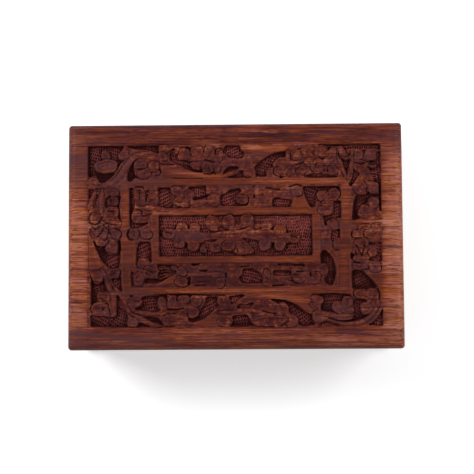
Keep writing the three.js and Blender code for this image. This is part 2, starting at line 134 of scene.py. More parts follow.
def covered(tree, share, under, over, **settings):
    """One colour under a share of another."""
    return add(tree, "ShaderNodeMix", {"Factor": share, "A": under, "B": over},
               data_type="RGBA", **settings)


# Lengths and widths of the grain's parts in millimetres, and how much of the colour each makes
FIGURE_LENGTH, FIGURE_WIDTH = 120, 8
STREAK_LENGTH, STREAK_WIDTH = 26, 0.8
LINE_LENGTH, LINE_WIDTH = 60, 1.7
FIGURE_SHARE, STREAK_SHARE = 0.34, 1.0
# Bands run three times as far through the board as they are wide
THROUGH_STRETCH = 3
# How far a paler or darker place of the board moves along the bands
TONE_SHIFT = 0.22
# Real pores are 0.2 mm wide, and are drawn twice as wide to show
PORE_LENGTH, PORE_WIDTH = 5, 0.42
SHEESHAM_BANDS = [(0.28, "#2d1114"), (0.40, "#482022"), (0.50, "#602820"), (0.61, "#7e3a24"),
                  (0.75, "#a35b44"), (0.90, "#b8745c")]
DARK_LINE = "#260708"
# Pigment drifts from ochre to mauve along the grain, and #bcbcbc leaves the colour as it is
PIGMENT_LENGTH, PIGMENT_WIDTH = 24, 3.5
PIGMENT = [(0.34, "#c0be8e"), (0.5, "#bcbcbc"), (0.66, "#b4bae0")]
# How far the pores dip, beside the fine ridges of the streaks
PORE_DIP = 0.6


def sheesham_grain(tree, along, through, seed, tone=None):
    """The colour and the height of quarter-sawn sheesham, grain and thickness given by axis."""
    place = add(tree, "ShaderNodeTexCoord").outputs["Object"]

    def grain(length, width, detail, rough, bend=0.0):
        scale = [1 / (width * MM)] * 3
        scale[along] = 1 / (length * MM)
        scale[through] /= THROUGH_STRETCH
        spot = add(tree, "ShaderNodeMapping", {"Scale": scale, "Location": (seed, seed, seed)},
                   {"Vector": place})
        return add(tree, "ShaderNodeTexNoise",
                   {"Scale": 1, "Detail": detail, "Roughness": rough, "Distortion": bend},
                   {"Vector": spot})

    figure = grain(FIGURE_LENGTH, FIGURE_WIDTH, 3, 0.55, 0.6)
    streaks = grain(STREAK_LENGTH, STREAK_WIDTH, 4, 0.75)
    lines = grain(LINE_LENGTH, LINE_WIDTH, 2, 0.5, 0.4)
    pores = grain(PORE_LENGTH, PORE_WIDTH, 1, 0.4)
    drift = grain(PIGMENT_LENGTH, PIGMENT_WIDTH, 4, 0.65)
    # Both run round 0.5, and so does what they make together
    level = (1 - FIGURE_SHARE - STREAK_SHARE) / 2
    together = scaled_sum(tree, figure, FIGURE_SHARE, level)
    together = scaled_sum(tree, streaks, STREAK_SHARE, together)
    if tone:
        together = scaled_sum(tree, tone, TONE_SHIFT, together)
    bands = ramp(tree, together, SHEESHAM_BANDS)
    pigment = ramp(tree, drift, PIGMENT)
    bands = covered(tree, 1.0, bands, pigment, blend_type="OVERLAY")
    line_mask = ramp(tree, lines, [(0.33, "#c0c0c0"), (0.42, "#000000")])
    pore_mask = ramp(tree, pores, [(0.35, "#d0d0d0"), (0.43, "#000000")])
    lined = covered(tree, line_mask, bands, linear(DARK_LINE))
    pored = covered(tree, pore_mask, lined, linear(DARK_LINE))
    return pored, scaled_sum(tree, pore_mask, -PORE_DIP, streaks)


def blotches(tree, number, detail, bend=0.0):
    """Noise with so many bumps along each side of the piece's own box, whatever its size."""
    share = add(tree, "ShaderNodeTexCoord").outputs["Generated"]
    return add(tree, "ShaderNodeTexNoise",
               {"Scale": number, "Detail": detail, "Distortion": bend}, {"Vector": share})


# Oiled and rubbed by hand: a satin with the pores left open
WOOD_IOR = 1.5
OILED_ROUGHNESS = 0.44
PORE_DEPTH, PORE_RELIEF = 0.12, 0.6
# Where hands have rubbed it smoother or left it duller, in spots 2.4 mm long on a 200 mm board
WEAR_BUMPS = 1000 / 12
WEAR_SMOOTHER, WEAR_DULLER = 0.08, 0.1


def oiled_sheesham(name, along, through, seed):
    """Planed and oiled sheesham for a plain board."""
    material, tree = bare_tree(name)
    colour, height = sheesham_grain(tree, along, through, seed)
    relief = bumped(tree, PORE_RELIEF, PORE_DEPTH, height)
    wear = blotches(tree, WEAR_BUMPS, 3)
    gloss = add(tree, "ShaderNodeMapRange", {"To Min": OILED_ROUGHNESS - WEAR_SMOOTHER,
                                             "To Max": OILED_ROUGHNESS + WEAR_DULLER},
                {"Value": wear})
    wood = add(tree, "ShaderNodeBsdfPrincipled", {"IOR": WOOD_IOR, "Specular IOR Level": 0.25},
               {"Base Color": colour, "Roughness": gloss, "Normal": relief})
    return finished(material, wood)


def placed(name, data):
    """A new object in the scene, made of a mesh, a lamp or a camera."""
    thing = bpy.data.objects.new(name, data)
    bpy.context.scene.collection.objects.link(thing)
    return thing


# Creases sharper than this many degrees stay crisp, on hard pieces and on soft or carved ones
HARD_CREASE, SOFT_CREASE = 35, 60


def new_piece(name, work, material, body, stands_for, crease=HARD_CREASE):
    """Makes a named piece from a bmesh, with its material, on its CAD body, in place of its CAD
    nodes.
    """
    mesh = bpy.data.meshes.new(name)
    work.to_mesh(mesh)
    work.free()
    piece = placed(name, mesh)
    mesh.materials.append(material)
    mesh.polygons.foreach_set("use_smooth", [True] * len(mesh.polygons))
    mesh.set_sharp_from_angle(angle=math.radians(crease))
    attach(piece, body)
    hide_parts(*stands_for)
    return piece


# How wide an eased edge is, how near two points count as one, up to how many degrees two faces
# count as flat, and from how many their edge is sharp
ARRIS = 0.4
WELD = 0.002
FLAT_ANGLE, SHARP_ANGLE = 1, 40


def softened(node, arris=ARRIS, steps=2):
    """A CAD solid with its sharp edges eased, as sandpaper or a buff leaves them."""
    work = bmesh.new()
    work.from_mesh(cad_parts[node].data)
    bmesh.ops.remove_doubles(work, verts=work.verts, dist=WELD * MM)
    bmesh.ops.dissolve_limit(work, angle_limit=math.radians(FLAT_ANGLE), verts=work.verts,
                             edges=work.edges)
    sharp = [e for e in work.edges
             if e.is_manifold and e.calc_face_angle(0) > math.radians(SHARP_ANGLE)]
    bmesh.ops.bevel(work, geom=sharp, offset=arris * MM, offset_type="OFFSET",
                    segments=steps, profile=0.5, affect="EDGES", clamp_overlap=True)
    return work


ALONG_X, ALONG_Y, ALONG_Z = 0, 1, 2
# Each board is cut from another place in the pattern
BASE_PLACE = 3.1
new_piece("sheesham_base_board", softened("base_board"),
          oiled_sheesham("oiled_sheesham_base", ALONG_X, ALONG_Z, BASE_PLACE), "box",
          ["base_board"])


# Walls: four sawn and sanded sheesham boards. The front and back boards are rebated at their
# ends, and the side boards are glued into the rebates, so a lap shows at each corner.
WALL_PLACE, WALL_STEP = 7.7, 5.3
for number, side in enumerate(["front", "back", "left", "right"]):
    axes = (ALONG_X, ALONG_Y) if side in ("front", "back") else (ALONG_Y, ALONG_X)
    new_piece(f"sheesham_{side}_wall", softened(f"{side}_wall"),
              oiled_sheesham(f"oiled_sheesham_{side}", *axes, WALL_PLACE + WALL_STEP * number),
              "box", [f"{side}_wall"])


# Brads: drawn steel wire nails that hold the base board to the walls, with flat punched heads.
# The baize hides them. Drawn wire gives a plain dull grey, with marks too fine to tell apart.
MARK_BUMPS = 1250


def drawn_steel():
    """Bright drawn steel wire, dulled by handling."""
    material, tree = bare_tree("drawn_steel_wire")
    marks = blotches(tree, MARK_BUMPS, 2)
    gloss = add(tree, "ShaderNodeMapRange", {"To Min": 0.32, "To Max": 0.5}, {"Value": marks})
    tone = ramp(tree, marks, [(0.3, "#7c7e81"), (0.7, "#8d8f92")])
    metal = add(tree, "ShaderNodeBsdfPrincipled", {"Metallic": 1.0},
                {"Base Color": tone, "Roughness": gloss})
    return finished(material, metal)


wire = drawn_steel()
BRAD_ARRIS, PIN_ARRIS = 0.12, 0.15
for number in range(1, 7):
    new_piece(f"steel_brad_{number}", softened(f"base_brad_{number}", BRAD_ARRIS, 1), wire,
              "box", [f"base_brad_{number}"])


# Baize: green wool baize, glued under the base so that the box doesn't mark the table. It is
# woven and then felted, which gives a matt, hairy face with hardly any weave left to see.

# Points nearer than this, in metres, are one
SAME_PLACE = 1e-7
# Stuffed cloth wanders in six waves of about 22 mm, and its crown is flat in the middle
WAVES, WAVE_LENGTH, WAVE_SPREAD = 6, 22, (0.6, 1.4)
CROWN_POWER = 4


def soft_block(low, high, radius, cell, swell=0.0, rough=0.0, seed=1):
    """A block with rounded edges, whose broad faces swell and wander as stuffed cloth does."""
    half = (np.array(high) - np.array(low)) / 2
    middle = (np.array(high) + np.array(low)) / 2
    bend = np.minimum(radius, half)
    lines = []
    for reach, edge in zip(half, bend):
        flat = np.linspace(edge - reach, reach - edge, int(2 * (reach - edge) / cell) + 2)
        curve = reach - edge + edge * np.sin(np.linspace(0, math.pi / 2, 4)[1:])
        lines.append(np.unique(np.round(np.concatenate([flat, curve, -curve]), 7)))
    work = bmesh.new()
    for axis in range(3):
        a, b = [n for n in range(3) if n != axis]
        for side in (-1, 1):
            grid = []
            for u in lines[a]:
                row = []
                for v in lines[b]:
                    spot = np.zeros(3)
                    spot[a], spot[b], spot[axis] = u, v, side * half[axis]
                    row.append(work.verts.new(spot))
                grid.append(row)
            for near, far in zip(grid, grid[1:]):
                for j in range(len(near) - 1):
                    work.faces.new([near[j], far[j], far[j + 1], near[j + 1]])
    bmesh.ops.remove_doubles(work, verts=work.verts, dist=SAME_PLACE)
    bmesh.ops.recalc_face_normals(work, faces=work.faces)
    thin = int(np.argmin(half))
    wide = [n for n in range(3) if n != thin]
    draw = np.random.default_rng(seed)
    waves = draw.uniform(*WAVE_SPREAD, (WAVES, 2)) * 2 * math.pi / (WAVE_LENGTH * MM)
    turns = draw.uniform(0, 2 * math.pi, WAVES)
    for vert in work.verts:
        spot = np.array(vert.co)
        core = np.clip(spot, bend - half, half - bend)
        out = spot - core
        reach = np.linalg.norm(out / np.maximum(bend, 1e-9))
        spot = core + out / max(reach, 1)
        share = spot / half
        crown = (1 - share[wide[0]] ** CROWN_POWER) * (1 - share[wide[1]] ** CROWN_POWER)
        ripple = sum(math.sin(spot[wide[0]] * w[0] + (-1) ** n * spot[wide[1]] * w[1] + turns[n])
                     for n, w in enumerate(waves)) / len(waves)
        spot[thin] += share[thin] * crown * (swell + rough * ripple)
        vert.co = spot + middle
    return work


BAIZE_GREENS = [(0.3, "#16301f"), (0.5, "#1f3d2a"), (0.7, "#2a4b35")]
# Tufts 0.13 by 0.09 mm on the sheet of 190 by 125 mm; real wool hairs are three times finer
TUFT_BUMPS, TUFT_BEND, TUFT_HEIGHT = 10000 / 7, 1.5, 0.15


def wool_baize():
    """Felted wool cloth: matt, with a soft sheen from its hairs."""
    material, tree = bare_tree("wool_baize")
    tufts = blotches(tree, TUFT_BUMPS, 4, TUFT_BEND)
    tone = ramp(tree, tufts, BAIZE_GREENS)
    relief = bumped(tree, 0.5, TUFT_HEIGHT, tufts)
    cloth = add(tree, "ShaderNodeBsdfPrincipled",
                {"Roughness": 1.0, "IOR": 1.5, "Specular IOR Level": 0.1, "Sheen Weight": 0.3},
                {"Base Color": tone, "Normal": relief})
    return finished(material, cloth)


BAIZE_EDGE, BAIZE_CELL = 0.5, 8
low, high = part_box("base_baize")
baize = new_piece("baize_sheet", soft_block(low, high, BAIZE_EDGE * MM, BAIZE_CELL * MM),
                  wool_baize(), "box", ["base_baize"], SOFT_CREASE)


# Linings and floor pad: short pile cotton velvet, wine red, drawn over card for the walls and
# the lid and over wadding for the floor. The pile is dark straight on and pale at a slant, and
# it lies in patches where fingers have brushed it.
VELVET_REDS = [(0.32, "#4a0c16"), (0.5, "#64111e"), (0.68, "#7d1a29")]
VELVET_SHEEN = "#c8616e"
# On the floor pad the brushed spots are 3 by 2 mm. The pile is finer there than real pile, and
# shows as an even depth of colour
BRUSHED_BUMPS, BRUSHED_BEND = 62.5, 0.8
PILE_BUMPS, PILE_SHARE, PILE_HEIGHT = 20000 / 9, 0.4, 0.2


def cotton_velvet():
    """Short pile velvet, brushed this way and that."""
    material, tree = bare_tree("cotton_velvet")
    brushed = blotches(tree, BRUSHED_BUMPS, 3, BRUSHED_BEND)
    pile = blotches(tree, PILE_BUMPS, 2)
    both = add(tree, "ShaderNodeMix", {"Factor": PILE_SHARE}, {"A": brushed, "B": pile})
    tone = ramp(tree, both, VELVET_REDS)
    relief = bumped(tree, 0.5, PILE_HEIGHT, pile)
    cloth = add(tree, "ShaderNodeBsdfPrincipled",
                {"Roughness": 0.95, "IOR": 1.5, "Specular IOR Level": 0.15,
                 "Sheen Weight": 0.6, "Sheen Roughness": 0.35,
                 "Sheen Tint": linear(VELVET_SHEEN)},
                {"Base Color": tone, "Normal": relief})
    return finished(material, cloth)


velvet = cotton_velvet()
CARD_EDGE, CARD_CELL, CARD_WANDER, CARD_SEED = 0.75, 4, 0.1, 11
for number, place in enumerate(["front", "back", "left", "right", "lid"]):
    low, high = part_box(f"{place}_lining")
    lining = new_piece(f"velvet_{place}_lining",
                       soft_block(low, high, CARD_EDGE * MM, CARD_CELL * MM, 0,
                                  CARD_WANDER * MM, CARD_SEED + number),
                       velvet, "lid" if place == "lid" else "box",
                       [f"{place}_lining"], SOFT_CREASE)

PAD_EDGE, PAD_CELL, PAD_CROWN, PAD_WANDER, PAD_SEED = 2.2, 2.5, 0.9, 0.25, 31
low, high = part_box("floor_pad")
high.z -= PAD_CROWN * MM
floor_pad = new_piece("velvet_floor_pad",
                      soft_block(low, high, PAD_EDGE * MM, PAD_CELL * MM, PAD_CROWN * MM,
                                 PAD_WANDER * MM, PAD_SEED),
                      velvet, "box", ["floor_pad"], SOFT_CREASE)


# Hinges: two small butt hinges of rolled brass sheet, let into the back wall and the lid, and
# turning on a steel pin. Rolled brass is a warm yellow with fine lines, and tarnishes brown.

# Real rolling lines are some 0.05 mm wide, and are drawn coarser to show
BRASS_LINE_LENGTH, BRASS_LINE_WIDTH = 6, 0.3
TARNISH_SIZE = 4


def rolled_brass():
    """Polished brass sheet that has begun to tarnish."""
    material, tree = bare_tree("rolled_brass")
    place = add(tree, "ShaderNodeTexCoord").outputs["Object"]
    fine = 1 / (BRASS_LINE_WIDTH * MM)
    stretched = add(tree, "ShaderNodeMapping",
                    {"Scale": (1 / (BRASS_LINE_LENGTH * MM), fine, fine)}, {"Vector": place})
    lines = add(tree, "ShaderNodeTexNoise", {"Scale": 1, "Detail": 3}, {"Vector": stretched})
    tarnish = add(tree, "ShaderNodeTexNoise", {"Scale": 1 / (TARNISH_SIZE * MM), "Detail": 3},
                  {"Vector": place})
    tone = ramp(tree, tarnish, [(0.35, "#7a5c30"), (0.5, "#a48648"), (0.7, "#b99b5c")])
    gloss = add(tree, "ShaderNodeMapRange", {"To Min": 0.24, "To Max": 0.42}, {"Value": lines})
    metal = add(tree, "ShaderNodeBsdfPrincipled", {"Metallic": 1.0},
                {"Base Color": tone, "Roughness": gloss})
    return finished(material, metal)


brass = rolled_brass()
PLATE_ARRIS = 0.18
for side in ("left", "right"):
    for part, body in (("wall", "box"), ("lid", "lid")):
        new_piece(f"brass_{side}_{part}_leaf",
                  softened(f"{side}_hinge_{part}_leaf", PLATE_ARRIS, 1), brass, body,
                  [f"{side}_hinge_{part}_leaf"])
    new_piece(f"steel_{side}_hinge_pin", softened(f"{side}_hinge_pin", PIN_ARRIS), wire, "box",
              [f"{side}_hinge_pin"])


# Hinge screws: turned brass wood screws with countersunk heads, slotted for a screwdriver. The
# maker leaves the slots at any angle.
HEAD_RADIUS, SHANK_RADIUS = 1.9, 0.9
HEAD_HEIGHT, SCREW_LENGTH, TIP_LENGTH = 1.0, 6.6, 1.6
HEAD_BEVEL, HEAD_RIM = 0.1, 0.08
SLOT_WIDTH, SLOT_DEPTH, SLOT_REACH = 0.5, 0.45, 1.5
SLOT_TURNS = {"left": 1.3, "right": 0.2, "wall": 0, "lid": 0.9}
SLOT_STEP = 0.7
HEAD_SIDES = 28


def cut_away(work, tools):
    """Takes blocks, each a low corner, a high corner and a turn, out of a closed mesh."""
    blank = placed("blank", bpy.data.meshes.new("blank"))
    work.to_mesh(blank.data)
    work.free()
    cutters = []
    for low, high, turn in tools:
        block = bmesh.new()
        bmesh.ops.create_cube(block, size=1)
        size = Matrix.Diagonal((high - low).to_4d())
        place = Matrix.Translation((low + high) / 2) @ Matrix.Rotation(turn, 4, "Z")
        bmesh.ops.transform(block, matrix=place @ size, verts=block.verts)
        cutter = placed("cutter", bpy.data.meshes.new("cutter"))
        block.to_mesh(cutter.data)
        block.free()
        cut = blank.modifiers.new("cut", "BOOLEAN")
        cut.operation, cut.solver, cut.object = "DIFFERENCE", "EXACT", cutter
        cutters.append(cutter)
    shape = blank.evaluated_get(bpy.context.evaluated_depsgraph_get())
    result = bmesh.new()
    result.from_mesh(shape.to_mesh())
    for helper in [blank, *cutters]:
        bpy.data.objects.remove(helper)
    return result


def slotted_screw(face, up, turn):
    """A countersunk screw whose head's face is at a point and looks up or down."""
    profile = [(0, 0), (HEAD_RADIUS - HEAD_BEVEL, 0), (HEAD_RADIUS, -HEAD_RIM),
               (SHANK_RADIUS, -HEAD_HEIGHT), (SHANK_RADIUS, TIP_LENGTH - SCREW_LENGTH),
               (0, -SCREW_LENGTH)]
    work = bmesh.new()
    rings = []
    for radius, level in profile:
        angles = np.arange(HEAD_SIDES if radius else 1) * 2 * math.pi / HEAD_SIDES
        rings.append([work.verts.new(Vector((radius * math.cos(a), radius * math.sin(a),
                                             level)) * MM) for a in angles])
    for low, high in zip(rings, rings[1:]):
        for side in range(HEAD_SIDES):
            after = side + 1
            corners = [low[side % len(low)], high[side % len(high)], high[after % len(high)],
                       low[after % len(low)]]
            work.faces.new(list(dict.fromkeys(corners)))
    bmesh.ops.recalc_face_normals(work, faces=work.faces)
    slot_low = Vector((-SLOT_REACH * HEAD_RADIUS, -SLOT_WIDTH / 2, -SLOT_DEPTH)) * MM
    slot_high = Vector((SLOT_REACH * HEAD_RADIUS, SLOT_WIDTH / 2, SLOT_DEPTH)) * MM
    work = cut_away(work, [(slot_low, slot_high, turn)])
    place = Matrix.Translation(face)
    if not up:
        place = place @ Matrix.Rotation(math.pi, 4, "X")
    bmesh.ops.transform(work, matrix=place, verts=work.verts)
    return work


for side in ("left", "right"):
    for part, body in (("wall", "box"), ("lid", "lid")):
        for number in (1, 2):
            node = f"{side}_hinge_{part}_screw_{number}"
            low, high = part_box(node)
            face = Vector(((low.x + high.x) / 2, (low.y + high.y) / 2,
                           high.z if part == "wall" else low.z))
            turn = SLOT_STEP * number + SLOT_TURNS[side] + SLOT_TURNS[part]
            new_piece(f"brass_{side}_{part}_screw_{number}",
                      slotted_screw(face, part == "wall", turn), brass, body, [node])


# Lid: one thick board of sheesham with the grain along the box, rounded over at its upper edge
# and carved by hand. The field is sunk in pockets with a chisel, which leaves leaves, stems and
# two flat frames standing, and each pocket's floor is stippled with a punch.

# Pockets: how much darker the floor is painted than most (below 0 for paler), for its stain and
# for the painted shade that a deep pocket holds, then the corners of the outline. All places on
# the lid are in millimetres from its middle, first across and then towards the back
POCKETS = [
    # corner at the back left, and round the large leaf
    [0.05, -88,54.4, -66,54.4, -67.3,51.5, -66.5,49, -68,46.8, -65.8,46.3, -69,42.8, -70.5,39.5,
     -74.5,37.4, -82,37.6, -85.5,35.6, -88,35.6],
    [0.6, -84,38.5, -71,38.2, -74.5,34.6, -78.5,32.3, -81,32.2, -82.5,35.5],
    [0.2, -57.5,47.5, -60.5,45.7, -63,41.5, -64.4,37, -64.5,33, -61.3,33, -60.2,35.2, -52,34.8,
     -52,35.6, -59,36, -60,38, -60.5,41, -59.9,44],
    [-0.15, -65,54.4, -60,52.2, -52,51.8, -48,50.2, -45.4,49.4, -45.2,54.3],
    [-0.3, -39.6,46, -39,50, -37.8,52.8, -35.6,52.8, -35.8,48.5, -33,50.4, -31.2,46.8, -28,45.2,
     -26,44.6, -25.4,41, -20.5,40.2, -18.8,38.6, -19.5,37.8, -23,38, -28,39.6, -32,42, -36,43.8],
    # behind the frame, middle
    [-0.2, -7.6,50, -6,54, 3.2,54, 3.9,50.6, 6,50.3, 4.7,46.3, -4.5,46.8, -5,49],
    [0, -7.4,36.4, -6.3,39.5, -4,41.4, 2,41.5, 2.9,40.4, -1,39, -5,37.9],
    [-0.35, -5.2,34.8, -1,36.2, 2,37.4, 3,39.1, 5.7,39.1, 6.2,35.2, 1,34.4],
    [0.1, 11.3,41, 15,44.6, 20,47.7, 25,49.7, 30.7,50.5, 31,47, 27,46.4, 24.7,45.6, 23.4,43,
     23.8,40.6, 20,40.4, 18.6,38, 19.3,35.2, 12,35.3, 12.4,39],
    [0, 26.6,34.3, 28.4,34.4, 28.2,36.7, 27,36.2],
    [-0.35, 40.5,35.2, 46,36.9, 51,37, 54,37.4, 55.5,35.9, 61,35.2, 61,34.5, 45,34.3],
    # back right corner
    [-0.45, 49,54.3, 86.9,54.3, 86.9,50.4, 84.8,51, 83.6,51.8, 80.8,51.4, 77.2,49.4, 74,51.4,
     70.6,52, 67.4,51.2, 65,51.2, 64.4,53.2, 58,53.3, 57,51.4, 55.2,51.6, 54.8,53.5],
    [-0.15, 62,46.4, 64.4,45.8, 66,44.6, 68.4,45.8, 69.4,44, 67.5,39.4, 66.4,36.6, 65,39.5, 63,43],
    [-0.55, 84.9,50, 87,50, 87,14.3, 85.7,14.5, 85.5,21, 85.7,30.5, 83.5,31.4, 82.5,34, 80.7,36.2,
     81,38, 80,40, 79.6,42, 79.8,44.4, 84,45],
    [-0.6, 71,40.3, 71.6,38.5, 74.9,36.8, 72.6,33.6, 70,30.2, 69,28.8, 67.4,30.3, 69.4,33,
     70.3,37],
    [0.2, 72,24, 75,23.4, 78,26.2, 78.5,28.3, 81,26, 83,24.5, 86.5,24.6, 86.6,22.6, 83,22.4,
     80,20, 78,18.6, 75,17, 73.5,15, 73,11.4, 75.3,10.3, 73,9.3, 70,8.3, 69.4,10, 69.8,15,
     70.5,20],
    # inner band, back right
    [0.05, 40,29.1, 62.6,29.2, 63,26, 61.5,26.6, 59,27.7, 55,26, 50,26.2, 48.6,24, 48.3,20,
     47.6,17, 45,16.3, 43,20, 41,25],
    [-0.1, 58.5,20.4, 63.1,20.9, 63.1,10, 59.5,10, 57.5,9.8, 54.2,5.5, 53,6, 52.5,9, 51.5,11.9,
     55,12.1, 58.3,12.9, 58.4,16.5],
    [-0.9, 57.4,2.4, 59.6,3, 61.9,4.2, 62.4,-1.6, 59.6,-2.2, 57.8,-4.4, 56.8,-3.4],
    # inner band, back left
    [-0.1, -46.6,29.1, -38.4,29.3, -37.8,25, -37.6,21, -36.3,17.4, -40,16.4, -43.5,17.2, -46.6,18,
     -45.4,23],
    [-0.25, -28.6,29.1, -17,30.3, -17.2,25, -14.7,24.6, -15,23.6, -18,22.6, -24.6,21.1,
     -25.4,23.5, -24,26, -26.5,27.4],
    [-0.1, -8.9,24.1, -7,24.6, -3.5,27.3, 3,28.7, 4.2,26.5, 1,24.5, 0.2,21.5, 2,19.2, 6.7,18.4,
     8.1,20.4, 7.6,17.7, -8.5,17.7, -9.1,21],
    [-0.5, 22.2,22.1, 26.5,22.9, 28,21.8, 34.2,21.4, 33.3,16.7, 21.9,17.1],
    [-0.25, -63.3,29.2, -60.8,29.5, -60.5,25, -59.7,21, -60.1,16.5, -61.8,14, -61.5,10, -60,8.3,
     -57,8, -54.5,7.7, -51.6,8.7, -52.5,7.2, -55,6.3, -58,4.9, -61.5,4.4, -62.7,5, -63,12],
    [-1.2, -53.6,27.6, -50.7,27.9, -51.5,24.5, -52.8,21.8, -53.4,19.8],
    [-0.3, -57.5,-3.3, -50.5,-3.1, -49.9,-8, -49.7,-16.2, -51.3,-14.6, -52.5,-12.9, -56,-13.2,
     -58.2,-16.7, -59.3,-13, -59,-8],
    [-1.25, -62.4,-20.8, -60,-21.5, -59.9,-26, -60.2,-29.9, -62,-29.9, -62.2,-25],
    # left outer band
    [-0.6, -87.7,28.3, -87.6,22.4, -85.6,24.5, -84,27.4, -85,28.7],
    [-1.3, -83.8,25.3, -81.4,25.7, -81.9,20, -82.4,17.3, -85.2,17.6, -84.2,22],
    [-1.05, -77.8,23, -76.5,23.6, -74.4,24.9, -74.4,23.3, -76.3,21.5, -75.6,20, -74.7,18,
     -76,16.8, -77.9,17.8],
    [-0.85, -70,24.2, -68.5,24.6, -68.2,23, -69.2,20, -68.9,15, -68.2,10, -67.7,6.3, -68.6,6.3,
     -69.3,10.5, -70.5,12, -70.6,18, -69.9,20],
    [0.15, -84.9,-1.9, -84.2,-4.5, -82.5,-9, -80,-14, -76.5,-17.8, -74.5,-19.1, -69.3,-19.4,
     -68.5,-13, -68,-6, -68.4,-1.9, -70.2,-2.4, -69.8,-7, -70.5,-10.6, -75.5,-10.9, -76.5,-6,
     -82,-5.3, -83.5,-2.8],
    # front left corner
    [0.3, -84.3,-20.3, -85.9,-24, -86.2,-40.6, -84,-41, -82,-38.8, -81.5,-35, -78,-32.7,
     -75.4,-32.4, -76,-29.5, -77.5,-26.3, -78.8,-24.3, -79,-26.5, -81,-28.4, -84,-28, -85.1,-25],
    [-0.2, -74.4,-24.9, -69,-22.8, -68.1,-24.3, -67.2,-33, -69.5,-31.6, -72,-29.9],
    [0.15, -86.2,-46.3, -83,-47, -78,-47.5, -73.5,-47.5, -71,-46, -70.8,-40, -71.1,-36,
     -70.8,-34.6, -69,-35.5, -67.5,-39, -66,-43, -64.3,-46, -63.7,-49, -64.3,-52, -63.6,-54,
     -86.2,-53.6],
    [0.15, -60,-43.2, -58,-42.2, -55.6,-40.5, -55.3,-38, -57,-38, -55.5,-35.8, -49,-35.2,
     -41,-34.8, -40.2,-36, -41.4,-37.7, -43.5,-36.2, -46.2,-38, -46.8,-41, -45.6,-44.4, -55,-44.4,
     -59.3,-43.9],
    [0.3, -55.7,-47.6, -50,-47.7, -46,-48.4, -44,-50.5, -42.2,-53, -45,-52.8, -49.5,-51.6,
     -53,-50.1], [-0.2, -57.6,-51, -55.5,-51.5, -51,-53.2, -50,-54, -59.3,-54, -58,-52.5],
    # front band, left of the middle
    [-0.45, -36,-34.6, -27,-34.4, -25,-36, -26,-38, -27.6,-36.1, -33,-36.1, -34,-38.2,
     -34.9,-36.4],
    [0.05, -17.4,-36.2, -10.6,-36.1, -10.1,-41, -10.6,-42.2, -14,-45.2, -17,-48.1, -21,-50.1,
     -26,-51.4, -28.6,-50.6, -28,-48, -24,-47.9, -21.8,-45.5, -20.3,-42.8, -18.3,-40.4],
    [-0.7, -4.4,-36, 0,-35.4, 4,-34.9, 6.2,-35.4, 3,-37, 0.5,-39.1, -2.5,-41.2, -3.6,-39],
    [-0.85, 1.8,-40.3, 6,-41, 9,-39.7, 11.5,-40, 8,-43.1, 1,-43.5, 0.3,-42.5],
    [0.05, -2.6,-47.7, 2,-47, 7,-46.9, 8.5,-50, 10,-52.8, 12.3,-53.6, 6,-54, -3.7,-54, -2,-51],
    # front band, right of the middle
    [0.15, 20,-37.6, 27,-38.2, 32,-39.2, 36,-41.2, 40,-44.4, 43,-46.4, 46,-47.3, 45.3,-50,
     47,-52.6, 46,-53.6, 41,-54, 37,-53.6, 36.6,-50, 34.5,-48, 32,-46.6, 31,-44.5, 31.2,-41.6,
     29,-40.8, 26,-41, 23,-39.4],
    [-1.2, 48.6,-54.4, 49.6,-52.2, 51,-50.8, 55,-51, 60,-52.4, 62,-54.4],
    [0.15, 45.3,-35.6, 57,-34.3, 69,-35.7, 66.5,-36.6, 63.6,-37.6, 62.5,-39.8, 58,-40.2, 56.8,-43,
     60,-46.3, 55,-45.8, 50,-44.7, 50.3,-41.5, 51,-38, 49,-36.5],
    [0.25, 69.2,-38.4, 73.5,-37.7, 77,-38.4, 78.2,-39.5, 75.5,-40.6, 74,-43, 74.5,-45.6, 77,-47.3,
     79.2,-47, 77,-48.9, 70,-51.1, 65,-51.3, 63.6,-51, 69,-50, 69.8,-46, 69.2,-42],
    [0.3, 68.9,-20.7, 75.5,-21.2, 78,-24, 81,-27, 84,-30.9, 82.5,-32.1, 78.5,-31.6, 77,-33.2,
     72,-32.4, 68.9,-32.4], [-0.8, 87,-43.2, 87,-54, 78,-53.3, 81,-51.9, 84,-48.9, 85.5,-46],
    [0, 68.3,-10.1, 70,-11.5, 70.9,-13, 69.3,-14.5, 68.3,-14.5],
    [-0.8, 79,-4.4, 83.2,-5.2, 87,-3.8, 87,-16.2, 84.4,-15.6, 79.2,-15.6, 79.2,-13.8, 82.6,-13.2,
     84.2,-10, 83.2,-6.8, 79,-6],
    [0.3, 50.4,-10, 53,-8.6, 56,-10.9, 58,-13.9, 59.4,-18, 59.8,-23, 58.6,-27, 57.6,-30.1,
     53.5,-29.2, 52.2,-25.3, 54.5,-24, 55.1,-21, 54.6,-18.5, 52,-17.2, 50.4,-17.1],
    # inner band, front
    [0.05, 4,-19.8, 10,-19.7, 13.5,-21.3, 15.7,-23.3, 16.3,-26, 16.2,-28.4, 12,-28.5, 7,-28.6,
     3,-27.8, 1.7,-25, 4,-23], [-0.3, 22.4,-20.6, 33.2,-21, 33.2,-24, 22.1,-24],
    [-1.05, 24.8,-16.7, 33,-16.9, 41.2,-17.2, 41.2,-19, 36.5,-18.4, 33.5,-19.6, 33,-20.6,
     31,-18.6, 25,-17.9], [-0.45, -28.6,-24.2, -26.4,-24.4, -26.8,-27.6, -27.2,-29.8, -28.6,-28.8],
    [-1.05, -46.8,-16.9, -37,-17.2, -36.6,-18.4, -38,-19.6, -38,-23.4, -41,-24.8, -45.4,-26.6,
     -46.4,-24, -46.2,-19.5],
    [0.2, -54.6,-25.4, -52,-24.7, -50,-25.2, -46,-25.2, -44,-26, -39.3,-22.8, -40.3,-24.9,
     -45,-27.8, -53.6,-28.1, -54.4,-27], [0, -26.4,-16.4, -20.3,-16.4, -24,-18, -26.2,-17.7],
    [0, -22.2,-20.6, -16.3,-19.9, -17,-21.6, -20,-21.4],
    # the whole middle panel
